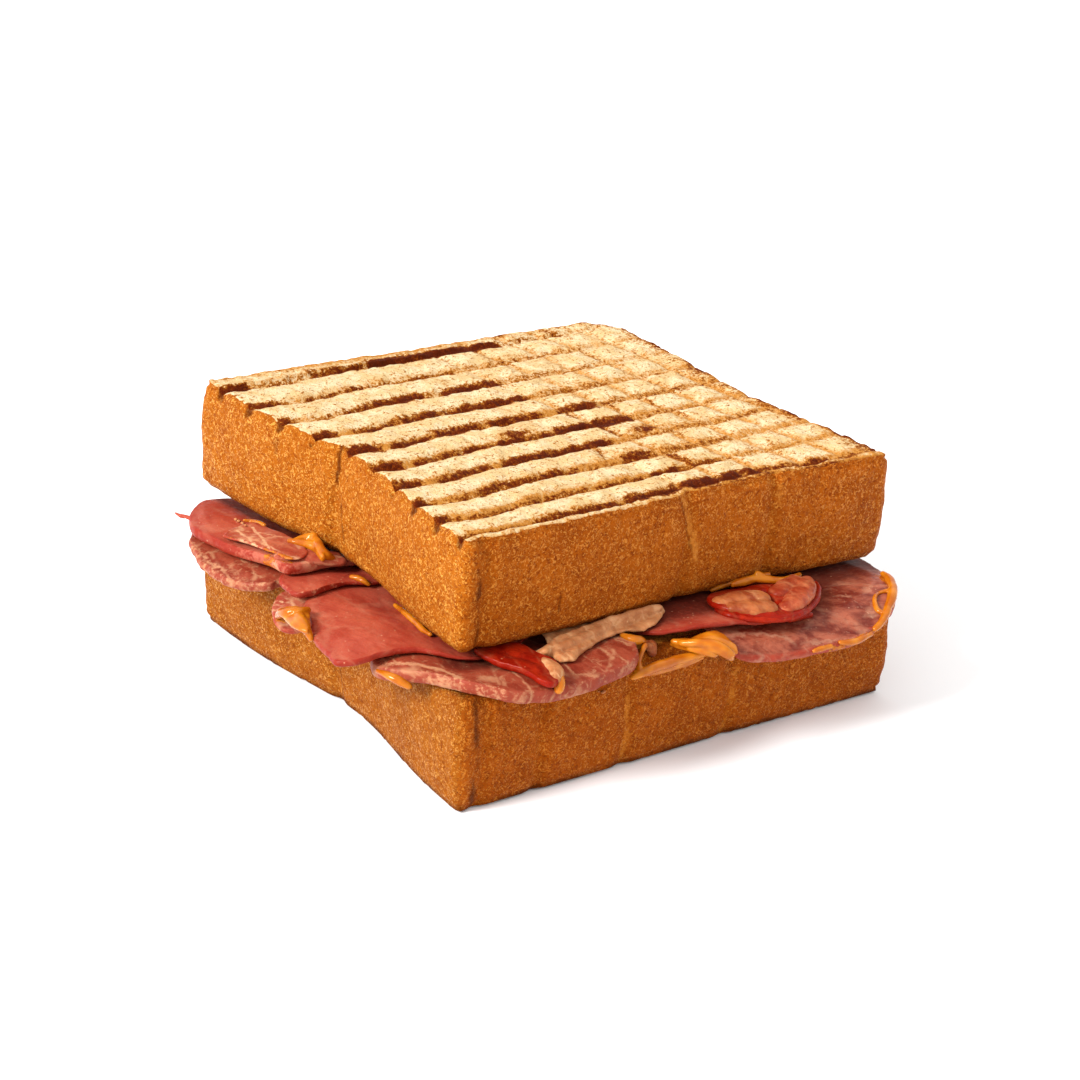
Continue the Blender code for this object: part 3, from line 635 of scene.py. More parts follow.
def shoulder(depth):
    """Drop of a face towards its rim, at a distance in from it."""
    inside = np.clip(depth / 1.5, 0.0, 1.0)
    return 1.1 * (1.0 - np.sqrt(np.clip(1.0 - (1.0 - inside) ** 2, 0.0, 1.0)))


def plain_rings(ring, seed):
    """Rings of the plain face, from its rim to near its middle."""
    middle = np.array([SLICE_WIDTH / 2, SLICE_DEPTH / 2])
    rings = []
    for depth in PLAIN_DEPTHS:
        plan = ring + (middle - ring) * depth / middle[1]
        height = shoulder(depth) + 0.2 + 0.2 * lumps_2d(plan[:, 0], plan[:, 1], 2.6, seed + 5)
        height = height + 0.13 * lumps_2d(plan[:, 0], plan[:, 1], 1.3, seed + 6)
        rings.append(np.column_stack([plan, height]))
    return rings


def wall_rings(ring, out, top_rim, low_rim, seed):
    """Rings of the bulging crust between a slice's two rims."""
    rings = []
    for level in range(1, WALL_LEVELS):
        s = level / WALL_LEVELS
        height = top_rim + (low_rim - top_rim) * s
        edge = min(s, 1.0 - s) * SLICE_THICK
        pull = RIM_INSET * (1.0 - math.sqrt(1.0 - (1.0 - min(edge / 1.6, 1.0)) ** 2))
        bulge = WALL_BULGE * math.sin(math.pi * s) - pull
        spots = np.column_stack([ring + out * bulge, height])
        rough = 0.30 * lumps(spots, 9.0, seed + 7) + 0.17 * lumps(spots, 2.4, seed + 8)
        rough = rough + 0.15 * lumps(spots, 1.2, seed + 9)
        spots[:, :2] += out * np.clip(rough, -0.6, 0.28)[:, None]
        rings.append(spots)
    return rings


def add_bread(name, node, form, finish, upside_down):
    """Fine bread slice: grilled face, plain face and crust walls in one closed mesh."""
    seed = form["seed"]
    us = np.linspace(0.0, SLICE_WIDTH, int(SLICE_WIDTH / FACE_STEP) + 1)
    vs = np.linspace(0.0, SLICE_DEPTH, int(SLICE_DEPTH / FACE_STEP) + 1)
    u, v = np.meshgrid(us, vs, indexing="ij")
    x, y = bread_plan(u, v, form)
    rim = from_rim(u, v)
    burnt, golden = burnt_marks(u, v, form)
    drop = grill_relief(u, v, form)
    crumbly = 0.30 * lumps_2d(x, y, 3.2, seed) + 0.26 * lumps_2d(x, y, 1.5, seed + 4) - 0.08
    crumbly = crumbly * smooth(0.0, 3.0, rim) if form["flat"] else crumbly
    crusty = 0.28 * np.clip(burnt, 0.0, 1.0) * lumps_2d(x, y, 1.0, seed + 10)
    grilled = SLICE_THICK - drop - shoulder(rim) - 0.1
    grilled = grilled + np.minimum(crumbly + crusty, 0.35 * drop + 0.1)

    i, j = ring_of(len(us), len(vs))
    ring = np.stack([x[i, j], y[i, j]], axis=1)
    out = outward(ring)
    inner = ring - out * RIM_INSET
    x[i, j], y[i, j] = inner[:, 0], inner[:, 1]
    top = np.stack([x, y, grilled], axis=-1).reshape(-1, 3)
    plains = plain_rings(inner, seed)
    walls = wall_rings(ring, out, grilled[i, j], plains[0][:, 2], seed)
    middle = [[SLICE_WIDTH / 2, SLICE_DEPTH / 2, 0.2]]
    points = np.concatenate([top, *walls, *plains, middle])

    count, size = len(i), len(top)
    index = np.arange(size).reshape(x.shape)
    quads = np.stack([index[:-1, :-1], index[1:, :-1], index[1:, 1:], index[:-1, 1:]], axis=-1)
    rings = [index[i, j]]
    rings += [size + k * count + np.arange(count) for k in range(len(walls) + len(plains))]
    faces = [quads.reshape(-1, 4)]
    faces += [band(upper, lower) for upper, lower in zip(rings, rings[1:])]
    faces = np.concatenate(faces)
    fan = np.stack([rings[-1], np.full(count, len(points) - 1), np.roll(rings[-1], -1)], axis=1)
    if upside_down:
        points[:, 2] = SLICE_THICK - points[:, 2]
        faces, fan = faces[:, ::-1], fan[:, ::-1]

    depth = np.append(np.repeat(PLAIN_DEPTHS, count), SLICE_DEPTH / 2)
    wall_size = len(walls) * count
    inside = form["wall_over_face"]
    marks = {
        "burnt": np.concatenate([burnt.ravel(), np.zeros(wall_size), 0.0 * depth]),
        "golden": np.concatenate([golden.ravel(), np.zeros(wall_size), 1.1 - 0.01 * depth]),
        "wall": np.concatenate([np.ravel(0.8 * (1.0 - smooth(inside * 0.4, inside, rim))),
                                np.ones(wall_size), 0.9 * (1.0 - smooth(1.5, 4.0, depth))]),
    }
    # Painted light and shade on the crust: 0 where it faces the light at the left, 1 on its other sides.
    others = np.minimum(np.minimum(SLICE_WIDTH - u, v), SLICE_DEPTH - v)
    turned = smooth(-0.8, -0.35, out[:, 0])
    marks["shaded_side"] = np.concatenate([np.ravel(smooth(-1.0, 1.0, u - others)),
                                       np.tile(turned, len(walls) + len(plains)), [1.0]])
    marks["deep"], marks["pale"] = wall_marks(points, form)
    metres = place(points)
    if not upside_down:
        turn = Euler([math.radians(angle) for angle in TOP_TILT_DEG], "XYZ").to_matrix()
        metres = metres @ np.array(turn).T + np.array([*TOP_SHIFT, TOP_LIFT]) * MM
    add_mesh(name, metres, faces.tolist() + fan.tolist(), finish, node, marks)


def wall_marks(points, form):
    """Dark lines of painted shade in the creases, dark notches at the grooves' ends, a scorched grilled
    rim and a darker top rim on the lower slice, and pale streaks with a painted highlight down the near
    left corner, from the slice's own plan millimetres.
    """
    x, y, z = points.T
    front = (y < 6.0) & (x > 1.5)
    left = (x < 14.0) & ~front
    wander = 0.8 * lumps(points, 4.0, form["seed"] + 20) + 0.4 * lumps(points, 1.5, form["seed"] + 21)
    patchy = 0.75 + 0.45 * lumps(points, 3.5, form["seed"] + 22)
    deep, pale = np.zeros(len(points)), np.zeros(len(points))
    for side, bread, at_high, at_low, z_high, z_low, width, tone, kind in WALL_LINES:
        if bread != form["name"]:
            continue
        along, mask = (x, front) if side == "front" else (y, left)
        t = np.clip((z_high - z) / (z_high - z_low), 0.0, 1.0)
        centre = at_high + (at_low - at_high) * t + wander * min(width, 1.0)
        within = smooth(z_low - 2.0, z_low + 1.0, z) * (1.0 - smooth(z_high - 1.0, z_high + 2.0, z))
        amount = tone * bell(along, centre, width) * within * mask * patchy
        # Dark lines are painted shade in the creases.
        if kind == "dark":
            deep = np.maximum(deep, amount)
        else:
            pale = np.maximum(pale, amount)
    if form["name"] == "upper":
        turn, pitch = groove_count(0.0 * y, y, form)
        aside = (turn - np.round(turn)) * pitch + 0.3 * wander
        notch = bell(aside, 0.0, 1.35) * smooth(22.2, 24.2, z) * (x < 4.0)
        deep = np.maximum(deep, 1.1 * notch * (turn > -0.4) * (turn < GROOVES - 0.6))
    if form["name"] == "lower":
        scorch = 1.1 * np.exp(-np.clip(z + 0.8 * wander, 0, None) / 1.2)
        inner_rim = 0.6 * smooth(25.2, 26.2, z)
        deep = np.maximum(deep, np.maximum(scorch, inner_rim))
    return deep, pale


# Slices of meat

def node_triangles(node):
    """Welded copy of a CAD node's mesh."""
    work = bmesh.new()
    work.from_mesh(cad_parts[node].data)
    bmesh.ops.remove_doubles(work, verts=work.verts[:], dist=1e-7)
    bmesh.ops.triangulate(work, faces=work.faces[:])
    work.normal_update()
    return work


def node_outline(work):
    """Plan ring in millimetres about the frame's origin where a slice's side meets its top."""
    following = {}
    for edge in work.edges:
        if len(edge.link_faces) != 2:
            continue
        side = [face for face in edge.link_faces if abs(face.normal.z) < 0.03]
        top = [face for face in edge.link_faces if face.normal.z > 0.03]
        if len(side) == 1 and len(top) == 1:
            a, b = edge.verts
            following.setdefault(a, []).append(b)
            following.setdefault(b, []).append(a)
    start = next(iter(following))
    ring, before, here = [start], None, start
    while True:
        ahead = [vertex for vertex in following[here] if vertex is not before]
        if not ahead or ahead[0] in ring:
            break
        before, here = here, ahead[0]
        ring.append(here)
    points = np.array([[vertex.co.x, vertex.co.y] for vertex in ring]) / MM
    ahead = np.roll(points, -1, axis=0)
    area = np.sum(points[:, 0] * ahead[:, 1] - ahead[:, 0] * points[:, 1])
    return points if area > 0 else points[::-1]


def closed_curve(corners, spacing):
    """Smooth closed curve through plan points, as evenly spaced points."""
    p0, p1, p2, p3 = (np.roll(corners, 1 - n, axis=0) for n in range(4))
    t = np.linspace(0.0, 1.0, 24, endpoint=False)[None, :, None]
    a, b = (2 * p0 - 5 * p1 + 4 * p2 - p3)[:, None], (3 * p1 - p0 - 3 * p2 + p3)[:, None]
    dense = 0.5 * (2 * p1[:, None] + (p2 - p0)[:, None] * t + a * t ** 2 + b * t ** 3)
    dense = dense.reshape(-1, 2)
    closed = np.concatenate([dense, dense[:1]])
    length = np.concatenate([[0.0], np.cumsum(np.linalg.norm(np.diff(closed, axis=0), axis=1))])
    count = int(length[-1] / spacing)
    goal = np.linspace(0.0, length[-1], count, endpoint=False)
    return np.stack([np.interp(goal, length, closed[:, axis]) for axis in (0, 1)], axis=1)


def heights(tree, plan, way):
    """Height in millimetres of a CAD surface over plan points, cast upwards (1) or downwards (-1)."""
    beam = Vector((0.0, 0.0, way))
    found = np.empty(len(plan))
    for k, (x, y) in enumerate(plan * MM):
        hit = tree.ray_cast(Vector((x, y, -way * PROBE_HEIGHT)), beam)[0]
        found[k] = hit.z / MM if hit is not None else np.nan
    return found


def fill_gaps(rings):
    """Heights on rings, with missing ones taken from the next ring inwards."""
    for k in range(len(rings) - 2, -1, -1):
        missing = np.isnan(rings[k])
        rings[k][missing] = rings[k + 1][missing]
    return rings


def relax(rings):
    """Smooths heights around and across rings."""
    out = rings.copy()
    for _ in range(RELAX_ROUNDS):
        around = 0.5 * out + 0.25 * (np.roll(out, 1, axis=1) + np.roll(out, -1, axis=1))
        ahead = np.concatenate([around[1:], around[-1:]])
        behind = np.concatenate([around[:1], around[:-1]])
        out = 0.5 * around + 0.25 * (ahead + behind)
    return out


def ring_depths(reach, spacing):
    """Distances inwards of a slice's rings: close together where it shows, wider inside."""
    depths, step = [0.0, 0.12, 0.35], spacing
    while depths[-1] + step < reach * 0.97:
        depths.append(depths[-1] + step)
        if depths[-1] > SHOWN_DEPTH:
            step *= WIDER_INSIDE
    return np.array(depths)


def slice_faces(count, levels, low_levels, total):
    """Faces of a slice from its rings: top, side and bottom, closed by a fan above and below."""
    starts = np.arange(levels + SIDE_LEVELS - 1 + low_levels) * count
    rings = [start + np.arange(count) for start in starts]
    top, side, low = rings[:levels], rings[levels:-low_levels], rings[-low_levels:]
    side = [top[0], *side, low[0]]
    quads = [np.stack([outer, np.roll(outer, -1), np.roll(inner, -1), inner], axis=1)
             for outer, inner in zip(top, top[1:])]
    quads += [band(upper, lower) for upper, lower in [*zip(side, side[1:]), *zip(low, low[1:])]]
    faces = np.concatenate(quads).tolist()
    faces += [(int(a), int(b), total - 2) for a, b in zip(top[-1], np.roll(top[-1], -1))]
    faces += [(int(b), int(a), total - 1) for a, b in zip(low[-1], np.roll(low[-1], -1))]
    return faces


def side_rings(rim, out, top, low, thick, seed):
    """Rings of a slice's rough rounded side, between its top and its bottom."""
    rings = []
    for level in range(1, SIDE_LEVELS):
        s = level / SIDE_LEVELS
        plan = rim + out * (SIDE_BULGE * thick * math.sin(math.pi * s))[:, None]
        height = top * (1.0 - s) + low * s
        bumpy = SIDE_ROUGH * lumps(np.column_stack([plan, height]), 1.3, seed)
        rings.append(np.column_stack([plan + out * bumpy[:, None], height]))
    return rings


def add_slice(node, finish, seed, spacing=0.6, ragged=0.25, rim_fat=0.0):
    """Fine slice of meat in the space of a CAD slice, with a ragged cut edge."""
    work = node_triangles(node)
    tree = BVHTree.FromBMesh(work)
    outline = closed_curve(node_outline(work), spacing)
    work.free()
    heart = outline.mean(axis=0)
    reach = float(np.median(np.linalg.norm(outline - heart, axis=1)))
    depths = ring_depths(reach, spacing)
    fractions = 1.0 - depths / reach
    out = outward(outline)
    jag = ragged * lumps_2d(outline[:, 0], outline[:, 1], 2.6, seed)
    jag = jag + 0.5 * ragged * lumps_2d(outline[:, 0], outline[:, 1], 1.1, seed + 1) - 0.5 * ragged
    rough_outline = outline + out * jag[:, None]
    rings = heart + (rough_outline - heart)[None] * fractions[:, None, None]
    count, levels = len(outline), len(depths)
    probe = rings.copy()
    probe[0] = heart + (outline - heart) * (1.0 - 0.35 / reach)
    probe[1] = heart + (outline - heart) * (1.0 - 0.45 / reach)
    top, low = (relax(fill_gaps(heights(tree, probe.reshape(-1, 2), way).reshape(levels, count)))
                for way in (-1.0, 1.0))
    thick = np.maximum(top[0] - low[0], THINNEST)
    wave = RUFFLE * lumps_2d(rings[..., 0], rings[..., 1], 6.0, seed + 2)
    wave = wave + 0.45 * RUFFLE * lumps_2d(rings[..., 0], rings[..., 1], 2.0, seed + 3)
    plan_middle = np.array([SLICE_WIDTH / 2, SLICE_DEPTH / 2])
    drawn = STROKES.get(node, {})
    lift = strokes_at(rings.reshape(-1, 2) + plan_middle, drawn.get("lift", ()))
    sink = strokes_at(rings.reshape(-1, 2) + plan_middle, drawn.get("sink", ()))
    roll = np.clip(1.0 - depths / ARRIS, 0.0, 1.0)[:, None]
    rolled = 0.6 * ARRIS * (1.0 - np.sqrt(1.0 - roll ** 2))
    top = top + np.minimum(wave, 0.12) - rolled
    top = top + (lift - sink).reshape(top.shape)
    low = low + 0.1 * np.minimum(wave, 0.0) + rolled

    thin_out = np.unique(np.concatenate([[0, 1, 2], np.arange(4, levels, 3), [levels - 1]]))
    thin_out = thin_out[thin_out < levels]
    blocks = [np.dstack([rings, top]).reshape(-1, 3)]
    blocks += side_rings(rings[0], out, top[0], low[0], thick, seed + 4)
    blocks.append(np.dstack([rings[thin_out], low[thin_out]]).reshape(-1, 3))
    middle_top = [*heart, float(np.mean(top[-1]))]
    middle_low = [*heart, float(np.mean(low[-1]))]
    points = np.concatenate(blocks + [[middle_top], [middle_low]])

    edge = np.concatenate([np.repeat(depths, count), np.zeros((SIDE_LEVELS - 1) * count),
                           np.repeat(depths[thin_out], count), [reach, reach]])
    plan_points = points[:, :2] + plan_middle
    marks = {kind: strokes_at(plan_points, drawn.get(kind, ()))
             for kind in ("fat_and_sheen", "shade", "sauce", "marble")}
    marks["fat_and_sheen"] = np.maximum(marks["fat_and_sheen"], rim_fat * bell(edge, 0.0, 0.8))
    marks["edge"] = edge
    faces = slice_faces(count, levels, len(thin_out), len(points))
    add_mesh("meat_" + node, points * MM, faces, finish, node, marks)


def strokes_at(plan, strokes):
    """Strength near drawn strokes: each is its strength, its half width and its points."""
    found = np.zeros(len(plan))
    for strength, half, *corners in strokes:
        corners = corners * 2 if len(corners) == 1 else corners
        for start, end in zip(corners, corners[1:]):
            span = np.subtract(end, start)
            t = np.clip((plan - start) @ span / max(float(span @ span), 1e-9), 0.0, 1.0)
            away = np.linalg.norm(plan - start - t[:, None] * span, axis=1)
            found = np.maximum(found, strength * bell(away, 0.0, half))
    return found


# Strokes on the slices: strength, half width and plan points of fat and painted sheen, shade, sauce and
# relief
STROKES = {
    "ham_thin_left": {
        "fat_and_sheen": ((0.8, 0.5, (-4.1, 87.1), (-4.6, 82.7), (-6.0, 75.8), (-6.1, 72.2)),
                (0.8, 0.5, (-0.1, 87.4), (-2.5, 78.6), (-4.9, 71.1)),
                (0.6, 0.5, (-1.0, 84.0), (1.0, 78.0)), (0.6, 0.4, (-6.5, 83.0), (-6.8, 78.0))),
        "sauce": ((0.85, 0.8, (-5.6, 72.0), (-4.6, 67.1), (-3.3, 63.8)),
                  (0.6, 0.4, (-8.1, 84.7), (-6.8, 82.5))),
    },
    "ham_upper_left": {
        "marble": ((1.2, 7.0, (0.0, 84.0), (-1.0, 70.0), (5.0, 63.0)),),
        "fat_and_sheen": ((0.9, 0.6, (-3.0, 70.0), (2.0, 66.0)), (0.8, 0.5, (0.5, 74.0), (4.0, 68.0)),
                (0.8, 0.5, (1.0, 69.5), (5.5, 63.5)), (0.7, 0.4, (-2.0, 65.0), (3.0, 63.0))),
        "sauce": ((0.7, 0.8, (-5.6, 71.5), (-4.6, 67.1), (-3.3, 63.8)),),
        "shade": ((0.9, 4.0, (4.0, 112.0), (7.0, 92.0), (11.0, 72.0)),),
    },
    "ham_through": {
        "shade": ((1.7, 8.5, (52.0, 14.0), (70.0, 12.0), (100.0, 12.0)),
                  (0.6, 3.5, (56.0, 6.0), (70.0, 4.0))),
    },
    "ham_back_left": {
        "fat_and_sheen": ((0.65, 1.0, (-10.8, 95.0), (-12.0, 86.9), (-11.2, 81.2)),
                (0.5, 0.8, (-10.3, 76.0), (-9.0, 70.3), (-6.6, 67.9))),
    },
    "ham_middle_left": {"fat_and_sheen": ((0.5, 0.6, (-6.0, 56.5), (-1.8, 50.6), (3.0, 49.6), (7.0, 50.5)),)},
    "ham_low_left": {
        "fat_and_sheen": ((0.55, 0.7, (-8.7, 62.0), (-7.0, 59.4)),),
        "shade": ((0.5, 3.0, (-10.0, 56.0), (-11.0, 50.0)),),
        "sauce": ((0.7, 0.9, (-11.3, 55.7), (-9.9, 53.3)),),
    },
    "ham_near_left": {
        "fat_and_sheen": ((0.35, 0.5, (-11.0, 41.9), (-14.0, 33.7)), (0.3, 0.5, (-2.5, 18.5), (3.6, 14.6))),
    },
    "ham_near_corner": {
        "fat_and_sheen": ((0.85, 0.8, (-6.0, 19.7), (-1.4, 14.4), (1.4, 9.3), (2.3, 4.1)),
                (0.5, 1.2, (-1.8, 10.0), (1.0, 4.8)), (0.5, 0.8, (4.2, 0.4), (7.8, -3.6))),
        "shade": ((0.9, 3.5, (6.0, 12.0), (16.0, 4.0)), (0.75, 5.0, (26.0, 12.0), (46.0, 14.0)),
                  (0.5, 2.5, (36.0, 4.0), (46.0, 12.0))),
    },
    "ham_right": {
        # These pale strokes are painted sheen highlights on the glossy ham.
        "fat_and_sheen": ((0.4, 0.6, (101.0, 1.0), (104.0, -5.0)), (0.4, 0.6, (104.5, -2.0), (106.0, -8.0)),
                (0.4, 0.5, (97.0, -3.0), (99.0, -8.5)), (0.35, 0.7, (92.0, -9.0), (97.0, -10.0))),
        "shade": ((1.7, 8.5, (92.0, 13.0), (124.0, 16.0)), (0.6, 3.5, (86.0, -3.0), (102.0, 3.0)),
                  (0.5, 2.5, (70.0, 0.0), (84.0, -3.0)), (1.2, 12.0, (116.0, 28.0), (116.0, 100.0))),
        "sauce": ((0.95, 0.9, (118.7, 4.0), (117.4, -1.5), (114.4, -5.7), (110.0, -8.4)),
                  (0.6, 0.5, (110.0, -8.4), (104.0, -11.0), (96.0, -12.2), (90.0, -12.2))),
    },
    "bacon_tip": {
        "shade": ((0.5, 1.2, (14.0, 4.5), (17.5, 2.0)),),
        "lift": ((0.35, 1.4, (13.0, 5.5), (17.0, -1.5)),),
        "sink": ((0.4, 0.7, (15.5, 6.5), (19.0, 0.5)),),
    },
    "bacon_curl": {
        "shade": ((0.8, 0.8, (83.6, 3.6), (81.2, -2.0)),),
        "sink": ((0.7, 0.7, (83.6, 3.8), (81.2, -2.4)),),
    },
}


# Soft pieces

def melt(name, mesh, finish, slot, node=None, voxel=0.2, rounds=22, swell=0.14, lump=0.05, seed=0):
    """Smooth rounded piece from a mesh: remeshed, relaxed, swollen back and slightly uneven."""
    piece = bpy.data.objects.new(name, mesh)
    bpy.context.scene.collection.objects.link(piece)
    remesh = piece.modifiers.new("fine", "REMESH")
    remesh.mode = "VOXEL"
    remesh.voxel_size = voxel * MM
    soften = piece.modifiers.new("soften", "SMOOTH")
    soften.iterations = rounds
    soften.factor = 0.5
    graph = bpy.context.evaluated_depsgraph_get()
    fine = bpy.data.meshes.new_from_object(piece.evaluated_get(graph), depsgraph=graph)
    piece.modifiers.clear()
    piece.data = fine
    fine.name = name
    fine.materials.clear()
    fine.materials.append(finish)
    layer = fine.attributes.new("edge", "FLOAT", "POINT")
    layer.data.foreach_set("value", np.full(len(fine.vertices), FAR_FROM_EDGE, np.float32))
    co = np.empty(len(fine.vertices) * 3)
    normals = np.empty(len(fine.vertices) * 3)
    fine.vertices.foreach_get("co", co)
    fine.vertices.foreach_get("normal", normals)
    co, normals = co.reshape(-1, 3), normals.reshape(-1, 3)
    co += normals * (swell + lump * lumps(co / MM, 1.8, seed))[:, None] * MM
    fine.vertices.foreach_set("co", co.ravel())
    fine.shade_smooth()
    settle(piece, node)


def along_chain(chain):
    """Closely spaced x, y, z and radius on a smooth curve through a chain."""
    knots = np.array([chain[0], *chain, chain[-1]], float)
    spots = [knots[-1]]
    for p0, p1, p2, p3 in zip(knots, knots[1:], knots[2:], knots[3:]):
        gap = 0.35 * min(p1[3], p2[3])
        steps = max(1, int(np.linalg.norm(p2[:3] - p1[:3]) / gap))
        for t in np.arange(steps) / steps:
            bend = (2 * p0 - 5 * p1 + 4 * p2 - p3) * t ** 2 + (3 * p1 - p0 - 3 * p2 + p3) * t ** 3
            spots.append(0.5 * (2 * p1 + (p2 - p0) * t + bend))
    return spots


def add_soft(name, finish, slot, chains=(), node=None, flat=0.85, **how):
    """Soft piece: a CAD node's form, if any, melted with balls along chains of x, y, z and radius."""
    work = bmesh.new()
    if node:
        work.from_mesh(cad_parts[node].data)
    for chain in chains:
        for x, y, z, radius in along_chain(chain):
            size = radius * MM
            shape = Matrix.Diagonal((size, size, size * flat, 1.0))
            shape = Matrix.Translation(place((x, y, z))) @ shape
            bmesh.ops.create_icosphere(work, subdivisions=2, radius=1.0, matrix=shape)
    mesh = bpy.data.meshes.new(name)
    work.to_mesh(mesh)
    work.free()
    melt(name, mesh, finish, slot, node, **how)


# The sandwich

# Each crust has lighter, yellower tones painted as light on its left-facing side and darker, redder tones
# painted as shade on its other sides.
GOLDEN_CRUST = bread_look("golden_crust",
                          ((0.355, 0.094, 0.005), (0.64, 0.29, 0.05), (0.21, 0.036, 0.0012)),
                          ((0.37, 0.081, 0.0035), (0.59, 0.21, 0.03), (0.19, 0.029, 0.001)))
# The lower slice's crust is painted darker than the upper's, as painted shade from the upper slice's
# overhang.
SHADED_DARK_CRUST = bread_look("shaded_dark_crust",
                        ((0.29, 0.078, 0.005), (0.51, 0.215, 0.036), (0.17, 0.032, 0.0015)),
                        ((0.325, 0.064, 0.002), (0.51, 0.16, 0.016), (0.175, 0.027, 0.0008)))
SMOOTH_HAM = ham_look("smooth_ham", (0.28, 0.032, 0.016), (0.37, 0.068, 0.035), (0.60, 0.30, 0.17),
                      (0.23, 0.014, 0.006), 0.14, grain=4.0)
MARBLED_HAM = ham_look("marbled_ham", (0.27, 0.036, 0.018), (0.41, 0.105, 0.053), (0.60, 0.33, 0.175),
                       (0.28, 0.028, 0.013), 0.75, streak=0.6, grain=2.4)
FATTY_HAM = ham_look("fatty_ham", (0.175, 0.019, 0.008), (0.28, 0.052, 0.024), (0.44, 0.20, 0.10),
                     (0.25, 0.040, 0.020), 0.75, streak=0.8, grain=2.2)
BROWNED_HAM = ham_look("browned_ham", (0.12, 0.010, 0.004), (0.35, 0.090, 0.046),
                       (0.46, 0.22, 0.13), (0.29, 0.030, 0.013), 0.5, streak=0.5, grain=2.8,
                       turn_deg=60.0, shine=0.15)
SAUCE = sauce_look("orange_sauce")
BACON = ham_look("red_bacon", (0.16, 0.0035, 0.001), (0.29, 0.013, 0.0025), (0.44, 0.17, 0.07),
                 (0.22, 0.006, 0.0015), 0.15, grain=2.0, shine=0.12, tint=(1.0, 0.3, 0.15))
PALE_MEAT = ham_look("pale_meat", (0.31, 0.105, 0.036), (0.47, 0.20, 0.078), (0.62, 0.35, 0.17),
                     (0.36, 0.125, 0.046), 0.55, streak=0.6, grain=2.0)
CURL_MEAT = ham_look("curl_meat", (0.20, 0.032, 0.008), (0.39, 0.115, 0.034), (0.55, 0.26, 0.11),
                     (0.27, 0.060, 0.016), 0.45, streak=0.5, grain=2.6, shine=0.1)
CURL_PINK = ham_look("curl_pink", (0.21, 0.018, 0.005), (0.37, 0.075, 0.027), (0.52, 0.20, 0.085),
                     (0.23, 0.020, 0.006), 0.45, streak=0.5, grain=2.6, shine=0.1)

add_bread("bread_bottom", "bread_lower", LOWER_FORM, SHADED_DARK_CRUST, True)
add_bread("bread_top", "bread_upper", UPPER_FORM, GOLDEN_CRUST, False)

add_slice("ham_low_left", MARBLED_HAM, 11, rim_fat=0.2)
add_slice("ham_back_left", FATTY_HAM, 12, ragged=0.5, rim_fat=0.45)
add_slice("ham_near_corner", FATTY_HAM, 13, ragged=0.35, rim_fat=0.25)
add_slice("ham_right", BROWNED_HAM, 14)
add_slice("ham_thin_left", MARBLED_HAM, 15)
add_slice("ham_near_left", SMOOTH_HAM, 16, rim_fat=0.12)
add_slice("ham_middle_left", SMOOTH_HAM, 17, rim_fat=0.3)
add_slice("ham_through", SMOOTH_HAM, 18)
add_slice("ham_upper_left", SMOOTH_HAM, 19, rim_fat=0.1)
add_slice("bacon_tip", BACON, 20, spacing=0.4)
add_slice("bacon_curl", BACON, 21, spacing=0.4)
add_soft("ham_strip", PALE_MEAT, "meat_pale", (
    ((22.0, 4.2, 30.6, 1.0), (24.6, 4.2, 30.7, 1.4), (27.8, 3.9, 30.9, 1.5), (31.6, 4.6, 31.0, 1.5),
     (35.6, 5.8, 31.0, 1.4), (39.4, 6.6, 31.0, 1.3), (43.1, 7.7, 31.1, 1.2), (46.5, 7.9, 31.1, 1.2),
     (50.0, 8.3, 31.1, 1.2), (53.5, 8.6, 31.1, 1.2), (56.2, 8.9, 31.1, 1.1), (59.0, 10.2, 30.9, 0.7)),
    ((25.4, 1.4, 30.4, 1.0), (28.4, 1.2, 30.4, 1.1), (31.4, 2.4, 30.4, 1.0), (34.6, 3.6, 30.4, 0.9)),
    ((23.0, 3.3, 31.5, 0.9), (28.2, 6.2, 31.3, 1.1), (32.5, 7.0, 31.5, 1.1), (38.4, 8.2, 31.5, 1.0),
     (43.4, 8.0, 32.1, 1.0), (48.0, 8.4, 32.1, 1.0), (52.4, 8.4, 32.2, 1.0), (57.2, 8.4, 32.0, 0.8)),
), node="meat_strip", voxel=0.25, lump=0.2, seed=22)
add_soft("sauce_pool", SAUCE, "sauce", (
    ((54.6, -0.4, 28.2, 0.6), (55.6, -1.6, 28.2, 0.9), (56.8, -3.0, 28.4, 1.1), (58.0, -4.9, 28.6, 1.2),
     (59.4, -6.8, 28.6, 1.3), (61.0, -8.5, 28.2, 1.3), (62.3, -9.6, 27.2, 1.1), (63.4, -9.8, 26.0, 0.6)),
    ((56.6, -3.7, 27.6, 0.8), (58.5, -6.3, 27.4, 1.0), (60.6, -7.4, 26.8, 0.9)),
    ((55.2, -2.7, 28.6, 0.8), (57.1, -5.2, 29.3, 1.0), (59.5, -7.4, 29.5, 1.1), (61.2, -9.4, 28.9, 1.0),
     (63.0, -10.2, 27.4, 0.8)),
), node="sauce_tongue", seed=31)
add_soft("sauce_drip", SAUCE, "sauce", (
    ((-11.3, 56.3, 25.3, 0.5), (-11.8, 54.4, 26.4, 0.8), (-13.0, 52.0, 28.2, 0.9),
     (-13.4, 48.9, 29.7, 1.0), (-12.5, 47.4, 30.4, 1.1), (-11.2, 46.6, 30.6, 1.0),
     (-9.2, 47.0, 30.2, 0.8)),
    ((-11.6, 46.6, 30.0, 1.0), (-12.6, 44.6, 30.2, 1.2), (-13.3, 42.2, 30.3, 1.2),
     (-13.9, 40.0, 30.0, 1.0), (-13.7, 38.6, 29.0, 0.8), (-13.6, 37.8, 28.0, 0.5)),
    ((-11.0, 48.0, 28.0, 1.0), (-11.6, 44.6, 28.6, 1.0), (-12.0, 42.4, 28.6, 0.8)),
), node="sauce_drip_left", rounds=16, seed=32)
